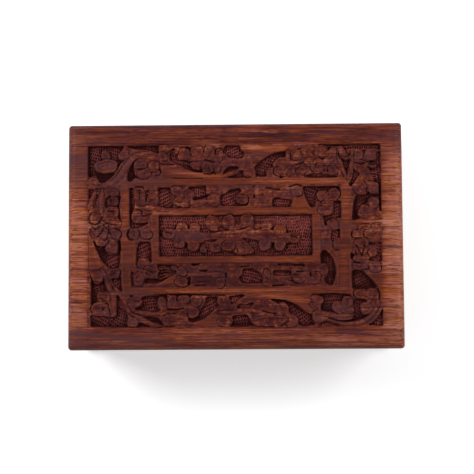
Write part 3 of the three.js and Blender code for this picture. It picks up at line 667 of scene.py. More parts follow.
    [-0.2, -45.7,12.2, 45.7,12.4, 45.9,-12.1, -45.3,-12.1],
]

# Raised masses of the middle panel, where leaves run into each other
MASSES = [
    [-42,0, -38,3.4, -34.5,4.5, -28.4,4.4, -21.5,4.4, -20.4,1.8, -16,1.2, -11,2.2, -2,3.4, 4,3.6,
     9,5, 12,4.4, 16,4.4, 21,3.4, 23.5,3, 29.6,2, 31,1, 37,1.6, 38.4,-1, 37,-4, 31,-4.6,
     29.6,-4.8, 23,-4.4, 21.4,-4, 14.4,-3.6, 11,-2.2, 5,-1.4, 2,-2.2, -6,-2.6, -14,-1.9, -18,-2.6,
     -21,-4.6, -28.6,-4.2, -30,-3.6, -36.6,-3.4, -37,-2.2],
    [-11,-2, 4,-1.6, 8,-5, 11,-8, 11,-9.8, 7,-11.6, 2,-11.6, -1,-9.6, -7,-8.7, -13.5,-10,
     -16,-7.5],
    [-17,4, -11,2.3, -10.5,5, -7,6.3, -1,3.4, 1.8,3.6, 6,5.4, 11.3,3.3, 11,9, 4,11.5, 3.3,8, 2,6,
     -0.5,8, -2,12, -6.5,12, -7.2,8, -10.5,8.5, -11,12.2, -16,12.2, -17,8],
]

# Lobes of the leaves: x, y, length, width, turn in degrees
LOBES = [
    (-77.2,48.6, 5.8,5.6, 0), (-76.6,42.2, 15.4,8, 4), (-66.4,48.8, 7,5.4, 20),
    (-85,31.9, 6.8,6.8, 0), (-56.5,43, 7.4,5.6, 0), (-48.3,41.6, 6.6,6.8, 0),
    (-54.6,37.4, 8,5.4, 0), (-47,38, 5,2.6, 10), (-42.3,52, 6.6,5.6, 0), (-43.2,47.7, 5.6,5.4, 0),
    (-30.2,49, 7.6,7.2, 80), (-22.4,50, 8,7.2, 90), (-15.2,49.4, 8.6,6.4, 90),
    (-9.6,48.2, 7,5, 80), (-22.4,42.2, 7.6,5.4, 0), (-17,41.4, 5.6,5.6, 20), (-11.8,41, 7,6, 0),
    (8.6,38.4, 6.4,6.4, 0), (27,42.6, 7.6,7.6, 30), (33,47.4, 5,7, 0), (27,38.2, 7.4,5.6, 0),
    (33.4,38.6, 5,5.4, 0), (39.6,38.2, 5.4,5, 0), (37,48, 6,7.4, 90), (42.6,50, 6,5, 0),
    (45,44, 7,5, 20), (51,50, 8,5, 0), (58.3,38.6, 5.6,6.4, 90), (50,43.6, 6,4.6, 0),
    (48.6,39.4, 6.4,4.6, -15), (53.4,38.6, 3.4,4.4, 0), (65.2,48.6, 6.6,4.2, 8),
    (58.3,49, 4.4,8, 0), (56,45, 6,4.4, 20), (73.8,48, 5,6.2, 0), (80.8,47.8, 7.6,6.8, 0),
    (75.6,42.6, 9,4, -16), (77,38.5, 6.6,4.4, -20), (82,41.6, 5,3.6, 0), (74.7,27.8, 8.4,8, 0),
    (82,27.9, 7.8,6.6, 10), (82.3,19.2, 6.4,7, 60), (77,13.6, 7.4,7.6, 60), (84,11.6, 7.4,5.6, 20),
    (84.4,4.4, 7,5, 0), (76.8,3.6, 8,5.4, 0), (73,0.6, 7,5, 0), (80,0.4, 7,5, 0),
    (75,-4.6, 8,5, 0), (82.6,-2, 7,4.6, 0), (81.2,-9.8, 5.4,6.4, 20), (82.6,-19, 6.8,7, 90),
    (75,-9.6, 6.4,6.4, 0), (73.6,-14.4, 7,4, 0), (74,-18.6, 9,4, 0), (74,-35.2, 7.8,5.8, 0),
    (80.7,-35.3, 6.4,7.6, 90), (77.2,-43.6, 6.6,7, 90), (48.3,-38.4, 7.4,5.6, 0),
    (60.4,-42.7, 7.2,6.6, -20), (66,-40, 6.4,7.4, 0), (66.4,-44.8, 6.8,4, 0),
    (49.2,-48.6, 7,7.4, 0), (47,-42.6, 7.4,3.4, -25), (27.8,-43.7, 6.8,7.2, 30),
    (33,-50.9, 7.4,7, 0), (20,-50.8, 20,7, 0), (10.6,-48.6, 4,4.4, 0), (-7,-51.2, 8,5, 0),
    (-8.2,-38.6, 6.6,5, 90), (-43.5,-40, 8,5, 90), (-37.7,-39.2, 7.6,5.6, 80),
    (-30.7,-37.6, 6.8,5.2, 0), (-23.6,-38.8, 7,6.6, 0), (-39,-50, 9.4,7, 0),
    (-25.2,-45.5, 6.6,6, 10), (-60.9,-51, 6.2,6, 0), (-78.2,-36.2, 7.6,7.6, 10),
    (-81.2,-42.6, 10,6.4, 24), (-75,-44.6, 7,7.6, 80), (-82,-23.9, 6.2,7.6, 80),
    (-72.2,-21.9, 6.8,6.4, 0), (-73.5,-6.6, 6.6,8, 80), (-79.6,-2.6, 7,6.4, 60),
    (-82.6,3.6, 9,5.6, 40), (-72.2,2, 9,5.6, -33), (-72.4,8.2, 8.8,6.4, -10), (-77.8,3, 9,4.2, 86),
    (-84,10.8, 6.8,6.6, 60), (-73.6,14.6, 8.6,6.6, -10), (-72.6,21.4, 6,6.2, 80),
    (-72.6,26.4, 5.8,4.6, 0), (-57.2,24.8, 6.2,9.4, 0), (-49.2,21.7, 7.4,6.4, 80),
    (-58.7,11.8, 6.6,7.4, 0), (-52.8,13.8, 5.6,2.6, 10), (-60.4,1.4, 6.6,6.4, 0), (-53,1, 7,5, 0),
    (-54.8,-16.4, 6.6,6.8, 70), (-50.2,-21.2, 9.6,6.6, -10), (-57.4,-25.3, 5.4,9, 0),
    (-34.6,27, 6.6,6, 0), (-32,20.6, 9.6,6.4, -8), (-27.4,24.4, 6,6.4, 0),
    (-12.8,21.4, 7.6,7.6, 80), (3.9,21.6, 7.2,6.2, 0), (36.6,26.6, 6,6.4, 0),
    (52.2,23.2, 7,6.8, 0), (58.9,24.4, 7.2,6.6, 50), (53.6,14.6, 8.4,6, -10), (54,18.6, 5,4, 0),
    (57.8,7, 6.8,4.6, 0), (61,-6, 6.4,5, 0), (51.4,-20.4, 7,6.6, 0), (47.5,-25.6, 5.4,7, 0),
    (37.6,-20.7, 7.4,5, 0), (37.6,-26, 8,4.6, 0), (18.6,-25.6, 5,9.6, 0), (-9.2,-28.2, 5.6,6.4, 0),
    (-32,-21.2, 6,5, -40), (-32.2,-27.4, 7.6,5.4, 0), (-36.6,-19, 4,3, 0), (-39.4,1.5, 8,6, 6),
    (-31.6,4.6, 7,6.6, 80), (-24,4.6, 7,6, 95), (-13.8,7.6, 7.4,9, 0), (-3.8,7.8, 7.4,9, 0),
    (7,9.4, 8,7, 10), (13.5,6.2, 5,3.8, 30), (18.6,5.8, 6.5,5.6, 10), (26.5,3, 7,6, 10),
    (34.5,-1.2, 8,6.4, 0), (-33.4,-4, 7,6, -10), (-25,-5.7, 6.6,7, 90), (-19.2,-8, 4.5,4, 90),
    (-11.6,-6.6, 6.4,7, 80), (-4.2,-6, 6.6,7.4, 80), (5.2,-7, 8.4,8, 50), (17.6,-5.6, 7.4,7, 10),
    (26.4,-5.5, 7,7, 80),
]

# Stems and ribs: width, then the points of the route
STEMS = [
    (3.6, -82,29.5, -76,30.8, -71,33.5, -67,38.5, -63.6,44, -58.5,48.4, -52,48.3, -45,46.4),
    (2.2, -88,16, -86.4,20.6, -84.6,24.6, -82.4,28),
    (2.8, -79.4,12.5, -80,18, -79.6,24, -79.2,28.4), (2.4, -78,7, -78,-1),
    (2.2, 60.8,50.4, 62.6,44, 64.8,38, 67.6,32.4), (2.2, 70.4,47.4, 69.6,42.4, 68.4,38, 67.2,33.4),
    (2.8, -79.8,-19.4, -77,-25.5, -74.8,-31, -73,-36, -72.6,-43),
    (1.8, -73,-28.6, -69.6,-33.4, -66.4,-38, -64,-43.6, -60.6,-47.6),
    (2.4, -60,-45.4, -53,-45.8, -44,-46, -34,-44.6), (2.6, -62,-46, -56,-49, -50,-52.4, -44,-53.4),
    (2.5, 84.4,-34.5, 84,-40, 82.2,-45, 78.6,-49.4, 73,-52.1, 66,-52.8, 60,-51.8, 55,-50,
     51,-48.8), (3, 51,-47.2, 60,-47.8, 69,-47.4), (2.4, -10.6,-45.4, -2,-45.4, 7,-44.6, 18,-45.6),
    (3, -56,17.2, -48,16.8, -40,15), (4, -28,19.4, -22,19.8, -15.6,21),
    (2.4, -31,-22.6, -20,-23.2, -8,-22.4), (1.5, -36,-20.6, -40,-19.6, -44.8,-19.6),
    (1.5, -36,-21.4, -40,-21, -45,-21.4), (1.5, -36.4,-22, -40.4,-22.6, -44.8,-23.4),
    (1.5, -37,-22.8, -41,-24, -45,-25.6), (2, -2,1.6, 4,2.6, 10,4.8),
]

# Knife cuts between the forms: width, depth, then the points of the route
CUTS = [
    (0.9, 1.2, -86,13.6, -87.3,11, -86.4,8.4, -84,7.3, -81,8.8, -79.3,11.6),
    (0.9, 1.1, -86.2,4.2, -84.5,1.1, -82,0.2, -79.6,2.8, -78.6,4.8),
    (1.4, 1.4, -63.4,3.6, -64.2,1, -63.4,-1.4, -61.2,-2.2), (0.9, 1, -75.6,15.2, -72.6,14.8),
    (0.8, 1, -45,43.5, -40,43.1, -36,42.8),
    (0.8, 1, -59.8,16.3, -57,15.8, -55.4,14.8, -55.5,13, -54,12.3, -50,13.8),
    (0.8, 1, -50,38.2, -46.6,39.2, -44.6,40.2, -44.2,38.2), (0.9, 1.3, -18,45.6, -15,44.8, -12,44),
    (0.9, 1.4, -12.4,39.6, -13,38, -15.6,37, -18.6,37.4), (0.9, 1.3, -13,38, -11.6,36.8),
    (0.8, 1.6, 18.4,28.5, 22,28, 26.6,27.3), (0.8, 1.4, 32,29.2, 34,29.4, 36.8,30.4, 39.6,29.4),
    (0.9, 1.4, 11,29.4, 11.4,29.6), (1.2, 1.6, 11.4,24, 11.5,23), (0.8, 1, 16,24, 17,24.4),
    (0.9, 1.4, 36,42.3, 38.5,42.5, 40.6,43.5), (0.9, 1.4, 37,51.4, 39,52),
    (0.9, 1.1, 48.4,43, 48,41.2), (0.9, 1, 50,47.4, 51.4,45.6, 53,46),
    (0.9, 1, 53,41.6, 55.4,41.2, 57,41.5), (0.9, 1.7, 16,-45.2, 20,-45.9, 23.6,-46.6),
    (0.8, 1, 16,-54, 22.6,-54), (0.8, 1.2, 84,-32, 85.2,-35.5, 84.8,-38.5),
    (1.2, 1.8, 44.4,-22.6, 44.6,-24.2), (1.8, 1.8, -5.8,-22.8, -5.6,-24.2),
    (0.7, 0.8, -5.6,-25, -5.4,-29.4), (0.8, 1.4, 22,-30, 28.6,-29.5), (0.7, 0.9, 31.8,-27, 35,-27),
    (0.7, 0.9, 36,-28, 38.2,-28.2), (0.8, 1.3, 36,-21.6, 40.4,-21.5),
    (0.8, 1.4, 3.2,-18.6, 8,-18.3), (1.2, 1.6, -62.4,-35.6, -61.4,-35.6),
    (0.9, 1.2, -48,-34.8, -40,-34.7, -28,-34.6, -17,-35.3, -7,-35.6),
    (0.8, 1.2, 57.4,3.2, 56.9,-2.6), (0.8, 1, 55.6,26.4, 55.5,23.8), (0.8, 1, 57.4,20, 63,19.4),
    (0.8, 1, -79.6,-38.4, -76.2,-40.2), (0.8, 1, -79,-43.6, -75.8,-41),
    (0.9, 1.1, -42,-36, -40.7,-38.2), (0.7, 0.9, -74.6,4.2, -71.6,4.4, -69.4,3.8),
    (0.8, 1, -75.4,-0.6, -74.8,-1.2), (0.9, 1.4, 71.6,-6, 73.2,-9, 75,-12),
    (0.9, 1.3, 76.8,-6.2, 75.8,-9.6, 75.2,-12), (0.8, 1.2, 79.4,-8.6, 77.6,-11.2, 75.4,-12.2),
    (0.8, 1.2, 69.8,-12.2, 72.4,-11.2, 75,-12.2), (0.8, 1, 70.6,-16.4, 74,-17),
    (0.7, 0.9, 71.6,3.2, 74.4,2.6), (0.8, 1, 69.2,2, 69,-1), (0.9, 1.1, 79.6,42.2, 84.6,42),
    (0.9, 1.1, 79.4,32, 84,32.2), (0.9, 1.5, -41,-43.4, -36,-43.8, -31,-43),
    (0.8, 0.9, -41,-45.8, -39.4,-46), (0.9, 1, -60,-38.7, -57,-38.6),
    (0.9, 1.2, -11.6,49, -11.4,51.4), (0.9, 1.2, -10,50.6, -8.2,51.4),
    (0.9, 1.1, -79.8,52.2, -80.8,51), (0.8, 1, 71.4,43.4, 75,42.2, 79,43.6),
    (1, 1.2, 77.2,50.2, 77.3,48.8), (0.8, 1, 80,39, 84,38.8), (0.8, 1, 82,36.4, 85,36),
    (0.8, 0.9, 62.4,48.4, 65,46.8, 68.4,48.6), (0.8, 1, -38,17, -35,16.8, -32.4,17.4),
    (0.7, 0.9, -55,-19.6, -52,-20.4, -49,-21.6), (0.7, 0.9, -54,-21.6, -50,-24),
    (0.7, 0.8, -36,21.2, -32,19.8), (0.7, 0.8, -57,28, -57.2,21), (0.8, 1, -24,-29.4, -18,-29.2),
    # pits and deep corners
    (1.3, 1.7, -28.6,52.9, -26.8,52.2), (0.6, 0.9, -37,34.7, -28,34.4, -19,34.6),
    (1.8, 1.6, -24.6,22.3, -21,22.7, -18,23.6, -15.6,24.1), (1.1, 1.5, 27,36.2, 27.8,34.9),
    (1.1, 1.4, 57.4,52.4, 55.6,51.2), (0.9, 1.4, 61.6,48.6, 62.8,45.8),
    (0.8, 1.2, 66.6,49.8, 68.2,47.6), (1, 1.5, 65.8,51.8, 66.4,50.4),
    (1.2, 1.6, 78.4,27.8, 78,25.8), (0.9, 1.4, 61.9,3.2, 61.8,-1.6),
    (0.9, 1.4, 55,-49.4, 60,-50.7, 66,-51.2, 71,-50.6, 76,-48.8), (1, 1.5, -20.8,41.4, -20.2,38.4),
    (0.5, 0.6, -87.5,1, -87.4,-19), (0.9, 1.3, -45,-43.8, -46.6,-44.6, -50,-44.8),
    (0.8, 1.2, -79,9.4, -75,7.6, -71,7), (0.8, 1.2, -78.6,7, -75.4,3.4, -74,1),
    (0.8, 1.1, -86,7.2, -83.6,4.4, -80.2,6.4), (0.8, 1.1, -81,-36.8, -77.6,-38.4, -75.4,-40.6),
    (0.8, 1.1, -74.4,-46.8, -75,-43.6, -75.6,-41.2), (0.8, 1.1, -74.4,24.2, -74.2,19.8),
    (0.8, 0.7, -23,-27.4, -15,-27.2), (0.8, 1, -41.6,2.6, -38,1.4), (0.8, 1, 33,-0.4, 37,-1.6),
    (0.7, 0.8, 5,-1.5, 11,-8),
    (0.7, 0.4, -82.4,42.4, -80,44, -76,44.7, -72.4,43.8, -70.8,42.4, -73,40.8, -77,40.2,
     -80.6,40.8, -82.4,42.4), (0.7, 0.4, -80,42.2, -76,43, -72.6,42.4),
]

# Flat strips left at the height of the board, most of them sides of the two frames: lowest x,
# highest x, lowest y, highest y
FLATS = [
    (-72,69.2, 30.4,34.5), (-68.2,-63.4, 3,34.4), (-67.8,-64.2, -3,5), (-67.8,-59.6, -20,-2.4),
    (-67.6,-62.4, -32,-19), (-67,69, -34.4,-30.3), (4.5,45, -37.6,-33), (63.2,69.2, 7,34),
    (62.4,69,-9.6,8), (59.9,68.4, -33,-9.4), (69,87.4, 6.8,9), (-50,50.4, 12.6,16.7),
    (-50,-45.9, -16.6,16.7), (-50,50, -16.4,-12.4), (46,50.4, -16.5,16.5),
]
# Flat places of other shapes: their outlines' corners
FLAT_SHAPES = [
    [-43,42.8, -45,39, -44,35, -5.6,34.8, -7.8,36.8, -13,36.6, -19,37, -25,38.2, -31,40.7],
    [4.6,50.6, 4.4,54.4, 34,54.4, 36,51.2, 30,50.8, 24,49.8, 18,47.4, 13,48.6, 8,50.4],
    [18,-34, 45,-34, 45.6,-41, 45.6,-46, 41,-44, 36,-40.8, 30,-38.2, 26,-37.6, 18,-37.4],
    [-22,-17.6, -16.4,-17, -16.8,-19.6, -22,-20.2],
    [-38,-23.4, -35.6,-22, -35.7,-28, -46,-29.6, -44.6,-28],
    [34.6,21.4, 40.6,23, 45,15.8, 34.6,15.8],
    [-16.4,-48.6, -11,-45.8, -10,-54, -24,-54, -24,-51.6],
    [-88,27.6, -87.8,-20, -78.4,-18.2, -82,-13.6, -85,-6, -86,0, -88,4],
    [79,-22.4, 87,-21.6, 87,-42, 85.6,-38, 84.6,-31.4],
    [-45,16.6, -40,16.6, -34,16.9, -30,17.4, -30,14, -45,14],
    [77.5,-54, 63,-53.8, 63,-52.8, 76,-52], [-45.4,54.4, -45.2,52, -39,53.6, -10,54.4],
]

# The carved field's edges, the lid's half size, and the roundings of its edge and its corners
FIELD_LEFT, FIELD_RIGHT, FIELD_FRONT, FIELD_BACK = -88.0, 87.0, -54.0, 54.4
LID_HALF_X, LID_HALF_Y = 100.0, 67.5
EDGE_RADIUS, PLAN_RADIUS = 5.0, 2.0
# The face is a grid that stops short of the rounded edge, fine over the field and a border
FACE_GAP = 0.5
BORDER = 1.0
GRID, PLAIN_GRID_X, PLAIN_GRID_Y = 0.4, 1.5, 0.5
# How deep the tools go below the face, and how high the leaves' rims are left above their bowls
LEAF_DEPTH, GROUND_DEPTH = 0.45, 2.3
RIM_RISE, LOBE_DISH, VEIN_DEPTH, OUTLINE_DEPTH = 0.3, 0.4, 0.35, 0.8


def grid_line(low, high, end, plain):
    """Grid places from one end of the face to the other, close together over the carving."""
    steps = [int((b - a) / pitch) for a, b, pitch in
             ((-end, low - BORDER, plain), (low - BORDER, high + BORDER, GRID),
              (high + BORDER, end, plain))]
    return np.concatenate([np.linspace(-end, low - BORDER, steps[0], endpoint=False),
                           np.linspace(low - BORDER, high + BORDER, steps[1], endpoint=False),
                           np.linspace(high + BORDER, end, steps[2] + 1)])


across = grid_line(FIELD_LEFT, FIELD_RIGHT, LID_HALF_X - EDGE_RADIUS - FACE_GAP, PLAIN_GRID_X)
upward = grid_line(FIELD_FRONT, FIELD_BACK, LID_HALF_Y - EDGE_RADIUS - FACE_GAP, PLAIN_GRID_Y)
grid_x, grid_y = np.meshgrid(across, upward)


def ease(low, high, value):
    """Rises smoothly from 0 at low to 1 at high."""
    share = np.clip((value - low) / (high - low), 0, 1)
    return share * share * (3 - 2 * share)


def wander(x, y, size, seed):
    """Smooth random rise and fall between -1 and 1, about one bump to each size in mm."""
    lattice = np.random.default_rng(seed).uniform(-1, 1, (256, 256))
    u, v = x / size + 128, y / size + 128
    i, j = np.floor(u).astype(int), np.floor(v).astype(int)
    s, t = ease(0, 1, u - i), ease(0, 1, v - j)
    i, j = i % 255, j % 255
    front = lattice[j, i] * (1 - s) + lattice[j, i + 1] * s
    back = lattice[j + 1, i] * (1 - s) + lattice[j + 1, i + 1] * s
    return front * (1 - t) + back * t


def pairs(numbers):
    """A flat row of numbers as points."""
    return np.array(numbers, float).reshape(-1, 2)


def lay(values, part, share, level):
    """Covers a share of each place in a part of the grid with another level."""
    values[part] = values[part] * (1 - share) + level * share


def window(points, reach):
    """The part of the grid that lies within reach of some points."""
    low, high = points.min(0) - reach, points.max(0) + reach
    return (slice(np.searchsorted(upward, low[1]), np.searchsorted(upward, high[1])),
            slice(np.searchsorted(across, low[0]), np.searchsorted(across, high[0])))


def cut_corners(numbers, reach=1.2):
    """Takes off the corners of a closed outline, at most as far as a gouge does."""
    points = pairs(numbers)
    after = np.roll(points, -1, 0)
    share = np.minimum(0.25, reach / np.linalg.norm(after - points, axis=1))[:, None]
    return np.stack([points + (after - points) * share, after - (after - points) * share],
                    1).reshape(-1, 2)


def line_distance(points, x, y):
    """Distance from a line, and how far along it the nearest place is."""
    nearest, reached, gone = np.full(x.shape, 1e9), np.zeros(x.shape), 0
    for (ax, ay), (bx, by) in zip(points, points[1:]):
        dx, dy = bx - ax, by - ay
        length = max(math.hypot(dx, dy), 1e-4)
        share = np.clip(((x - ax) * dx + (y - ay) * dy) / length ** 2, 0, 1)
        away = np.hypot(x - ax - share * dx, y - ay - share * dy)
        reached = np.where(away < nearest, gone + share * length, reached)
        nearest = np.minimum(nearest, away)
        gone += length
    return nearest, np.minimum(reached, gone - reached)


def depth_inside(points, x, y):
    """Distance from a closed outline, positive inside it."""
    inside = np.zeros(x.shape, bool)
    for (ax, ay), (bx, by) in zip(points, np.roll(points, -1, 0)):
        if ay != by:
            inside ^= ((ay > y) != (by > y)) & (x < (bx - ax) * (y - ay) / (by - ay) + ax)
    nearest = line_distance(np.vstack([points, points[:1]]), x, y)[0]
    return np.where(inside, nearest, -nearest)


def smooth_route(numbers):
    """A smooth line through the points of a stem or a cut."""
    points = pairs(numbers)
    if len(points) < 3:
        return points
    longer = np.vstack([2 * points[0] - points[1], points, 2 * points[-1] - points[-2]])
    route = [points[0]]
    for a, b, c, d in zip(longer, longer[1:], longer[2:], longer[3:]):
        for t in (0.25, 0.5, 0.75, 1.0):
            route.append(0.5 * (2 * b + (c - a) * t + (2 * a - 5 * b + 4 * c - d) * t * t
                                + (3 * b - a - 3 * c + d) * t ** 3))
    return np.array(route)


# Each place's height over the lid's face, how far it is leaf, ground, rim or cut, and how much
# darker its pocket floor is painted. Cut is how dark a place is painted: painted shade in cuts,
# grooves and hollows, together with stain. Whatever is neither leaf nor ground is frame. Depths
# and widths are in millimetres, and every line cut by hand strays a little, by a number times
# wander()
height = np.zeros(grid_x.shape)
leaf, ground, rim, cut, pocket_shade_and_stain = (np.zeros(grid_x.shape) for _ in range(5))
EDGE_WANDER = 0.25
edge_gap = np.minimum(np.minimum(grid_x - FIELD_LEFT, FIELD_RIGHT - grid_x),
                      np.minimum(grid_y - FIELD_FRONT, FIELD_BACK - grid_y))
rough_gap = edge_gap + EDGE_WANDER * wander(grid_x, grid_y, 5, 41)
in_field = ease(-0.3, 0.3, rough_gap)
height -= LEAF_DEPTH * in_field * (1 + 0.3 * wander(grid_x, grid_y, 7, 42)
                                   + 0.3 * wander(grid_x, grid_y, 2.2, 52))
leaf[:] = in_field

FLAT_WANDER = 0.18
boxes = [np.array([[a, c], [b, c], [b, d], [a, d]], float) for a, b, c, d in FLATS]
for points in boxes + [cut_corners(numbers) for numbers in FLAT_SHAPES]:
    part = window(points, 1)
    x, y = grid_x[part], grid_y[part]
    share = ease(-0.35, 0.35, depth_inside(points, x, y) + FLAT_WANDER * wander(x, y, 4, 43))
    height[part] *= 1 - share
    leaf[part] *= 1 - share

# The real ticks are a little closer, and are drawn as far apart as it takes to show
TICK_PITCH, TICK_LENGTH, TICK_DEPTH = 1.4, 1.9, 0.8
# The punch was held across the length of a pocket that is longer than wide, and as it came in
# the others: turns in degrees
LONGER = 1.8
TURN_IN_WIDE, TURN_IN_TALL, OTHER_TURNS = 90, 5, (75, 110, 60, 120)
# Where the ridges end and the gouges begin, and how dark each is painted: the gouges darker, as
# painted shade, and the small pockets darker than the big panel, for the stain they have kept and
# for painted shade
POCKET_TICK, PANEL_TICK = (0.1, 0.6), (0.2, 0.8)
POCKET_SHADE_AND_STAIN, PANEL_SHADE_AND_STAIN = (0.2, 0.95), (0.05, 0.8)
# Painted shade, with the stain and dirt that stay there, along the foot of the walls, as dark and
# as wide as this
FOOT_DARK, FOOT_WIDTH, FOOT_FULL = 0.8, 0.9, 0.2
for number, (darker, *numbers) in enumerate(POCKETS):
    panel = number == len(POCKETS) - 1
    points = cut_corners(numbers, 0.2 if panel else 0.8)
    part = window(points, 1)
    x, y = grid_x[part], grid_y[part]
    inside = depth_inside(points, x, y) + 0.15 * wander(x, y, 2.5, 44)
    share = ease(-0.25, 0.3, inside) * ease(-0.3, 0.2, rough_gap[part])
    spread_x, spread_y = np.ptp(points, axis=0)
    turn = math.radians(TURN_IN_WIDE if panel or spread_x > LONGER * spread_y else
                        TURN_IN_TALL if spread_y > LONGER * spread_x else
                        OTHER_TURNS[number % len(OTHER_TURNS)])
    u = x * math.sin(turn) - y * math.cos(turn) + 0.5 * wander(x, y, 4, 45)
    v = (x * math.cos(turn) + y * math.sin(turn) + 0.7 * wander(x, y, 5, 46)) / TICK_LENGTH
    row = np.floor(v)
    u = u + TICK_PITCH / 2 * row + 0.3 * np.sin(7.3 * row)
    tick = ease(*(PANEL_TICK if panel else POCKET_TICK),
                0.5 + 0.5 * np.cos(2 * math.pi * u / TICK_PITCH))
    tick = (tick * (0.75 + 0.25 * wander(x, y, 1.7, 57)) * ease(0.3, 1.0, inside)
            * ease(0.02, 0.3, 0.5 - np.abs(v - row - 0.5)))
    floor_level = -GROUND_DEPTH + 0.25 * wander(x, y, 6, 47) - TICK_DEPTH * (tick - 0.4)
    lay(height, part, share, floor_level)
    ground[part] = np.maximum(ground[part], share)
    # Painted shade along the foot of the pocket's walls, with dirt
    foot_shade_and_dirt = FOOT_DARK * ease(FOOT_WIDTH, FOOT_FULL, inside)
    held, gouged = PANEL_SHADE_AND_STAIN if panel else POCKET_SHADE_AND_STAIN
    # The punch's gouges are painted darker than its ridges, as painted shade
    stain = held + (gouged - held) * tick
    lay(cut, part, share, np.maximum(stain, foot_shade_and_dirt))
    pocket_shade_and_stain[part] = np.where(share > 0.5, darker, pocket_shade_and_stain[part])

MASS_DEPTH = 1.3 * LEAF_DEPTH
for numbers in MASSES:
    points = cut_corners(numbers)
    part = window(points, 1)
    share = ease(-0.4, 0.4, depth_inside(points, grid_x[part], grid_y[part]))
    for area, level in ((height, -MASS_DEPTH), (ground, 0), (leaf, 1), (cut, 0)):
        lay(area, part, share, level)

# A stem is a rib with its top a little below the face and a groove along each side, and it
# thins to its ends
RIB_TOP, RIB_FALL, THIN_END, THIN_LENGTH = 0.2, 0.6, 0.4, 4
GROOVE_OFFSET, GROOVE_WIDTH = 0.35, 0.6
GROOVE_SHARE, GROOVE_DARK = 0.8, 0.6
for width, *numbers in STEMS:
    route = smooth_route(numbers)
    part = window(route, width)
    x, y = grid_x[part], grid_y[part]
    away, from_end = line_distance(route, x, y)
    away += 0.12 * wander(x, y, 3, 48)
    half = width / 2 * (THIN_END + (1 - THIN_END) * ease(0, THIN_LENGTH, from_end))
    share = ease(half + 0.3, half - 0.2, away)
    rib = (-RIB_TOP - RIB_FALL * np.clip(away / half, 0, 1.2) ** 2
           + 0.08 * wander(x, y, 2, 49))
    groove = np.clip(1 - np.abs(away - half - GROOVE_OFFSET) / GROOVE_WIDTH, 0, 1)
    groove = groove * (1 - ground[part])
    groove *= 0.6 + 0.4 * wander(x, y, 5, 53)
    lay(height, part, share, rib)
    height[part] -= OUTLINE_DEPTH * GROOVE_SHARE * groove
    ground[part] *= 1 - share
    leaf[part] = np.maximum(leaf[part], share)
    # The grooves along the stem are painted darker, as painted shade
    cut[part] = np.maximum(cut[part] * (1 - share), GROOVE_DARK * groove)

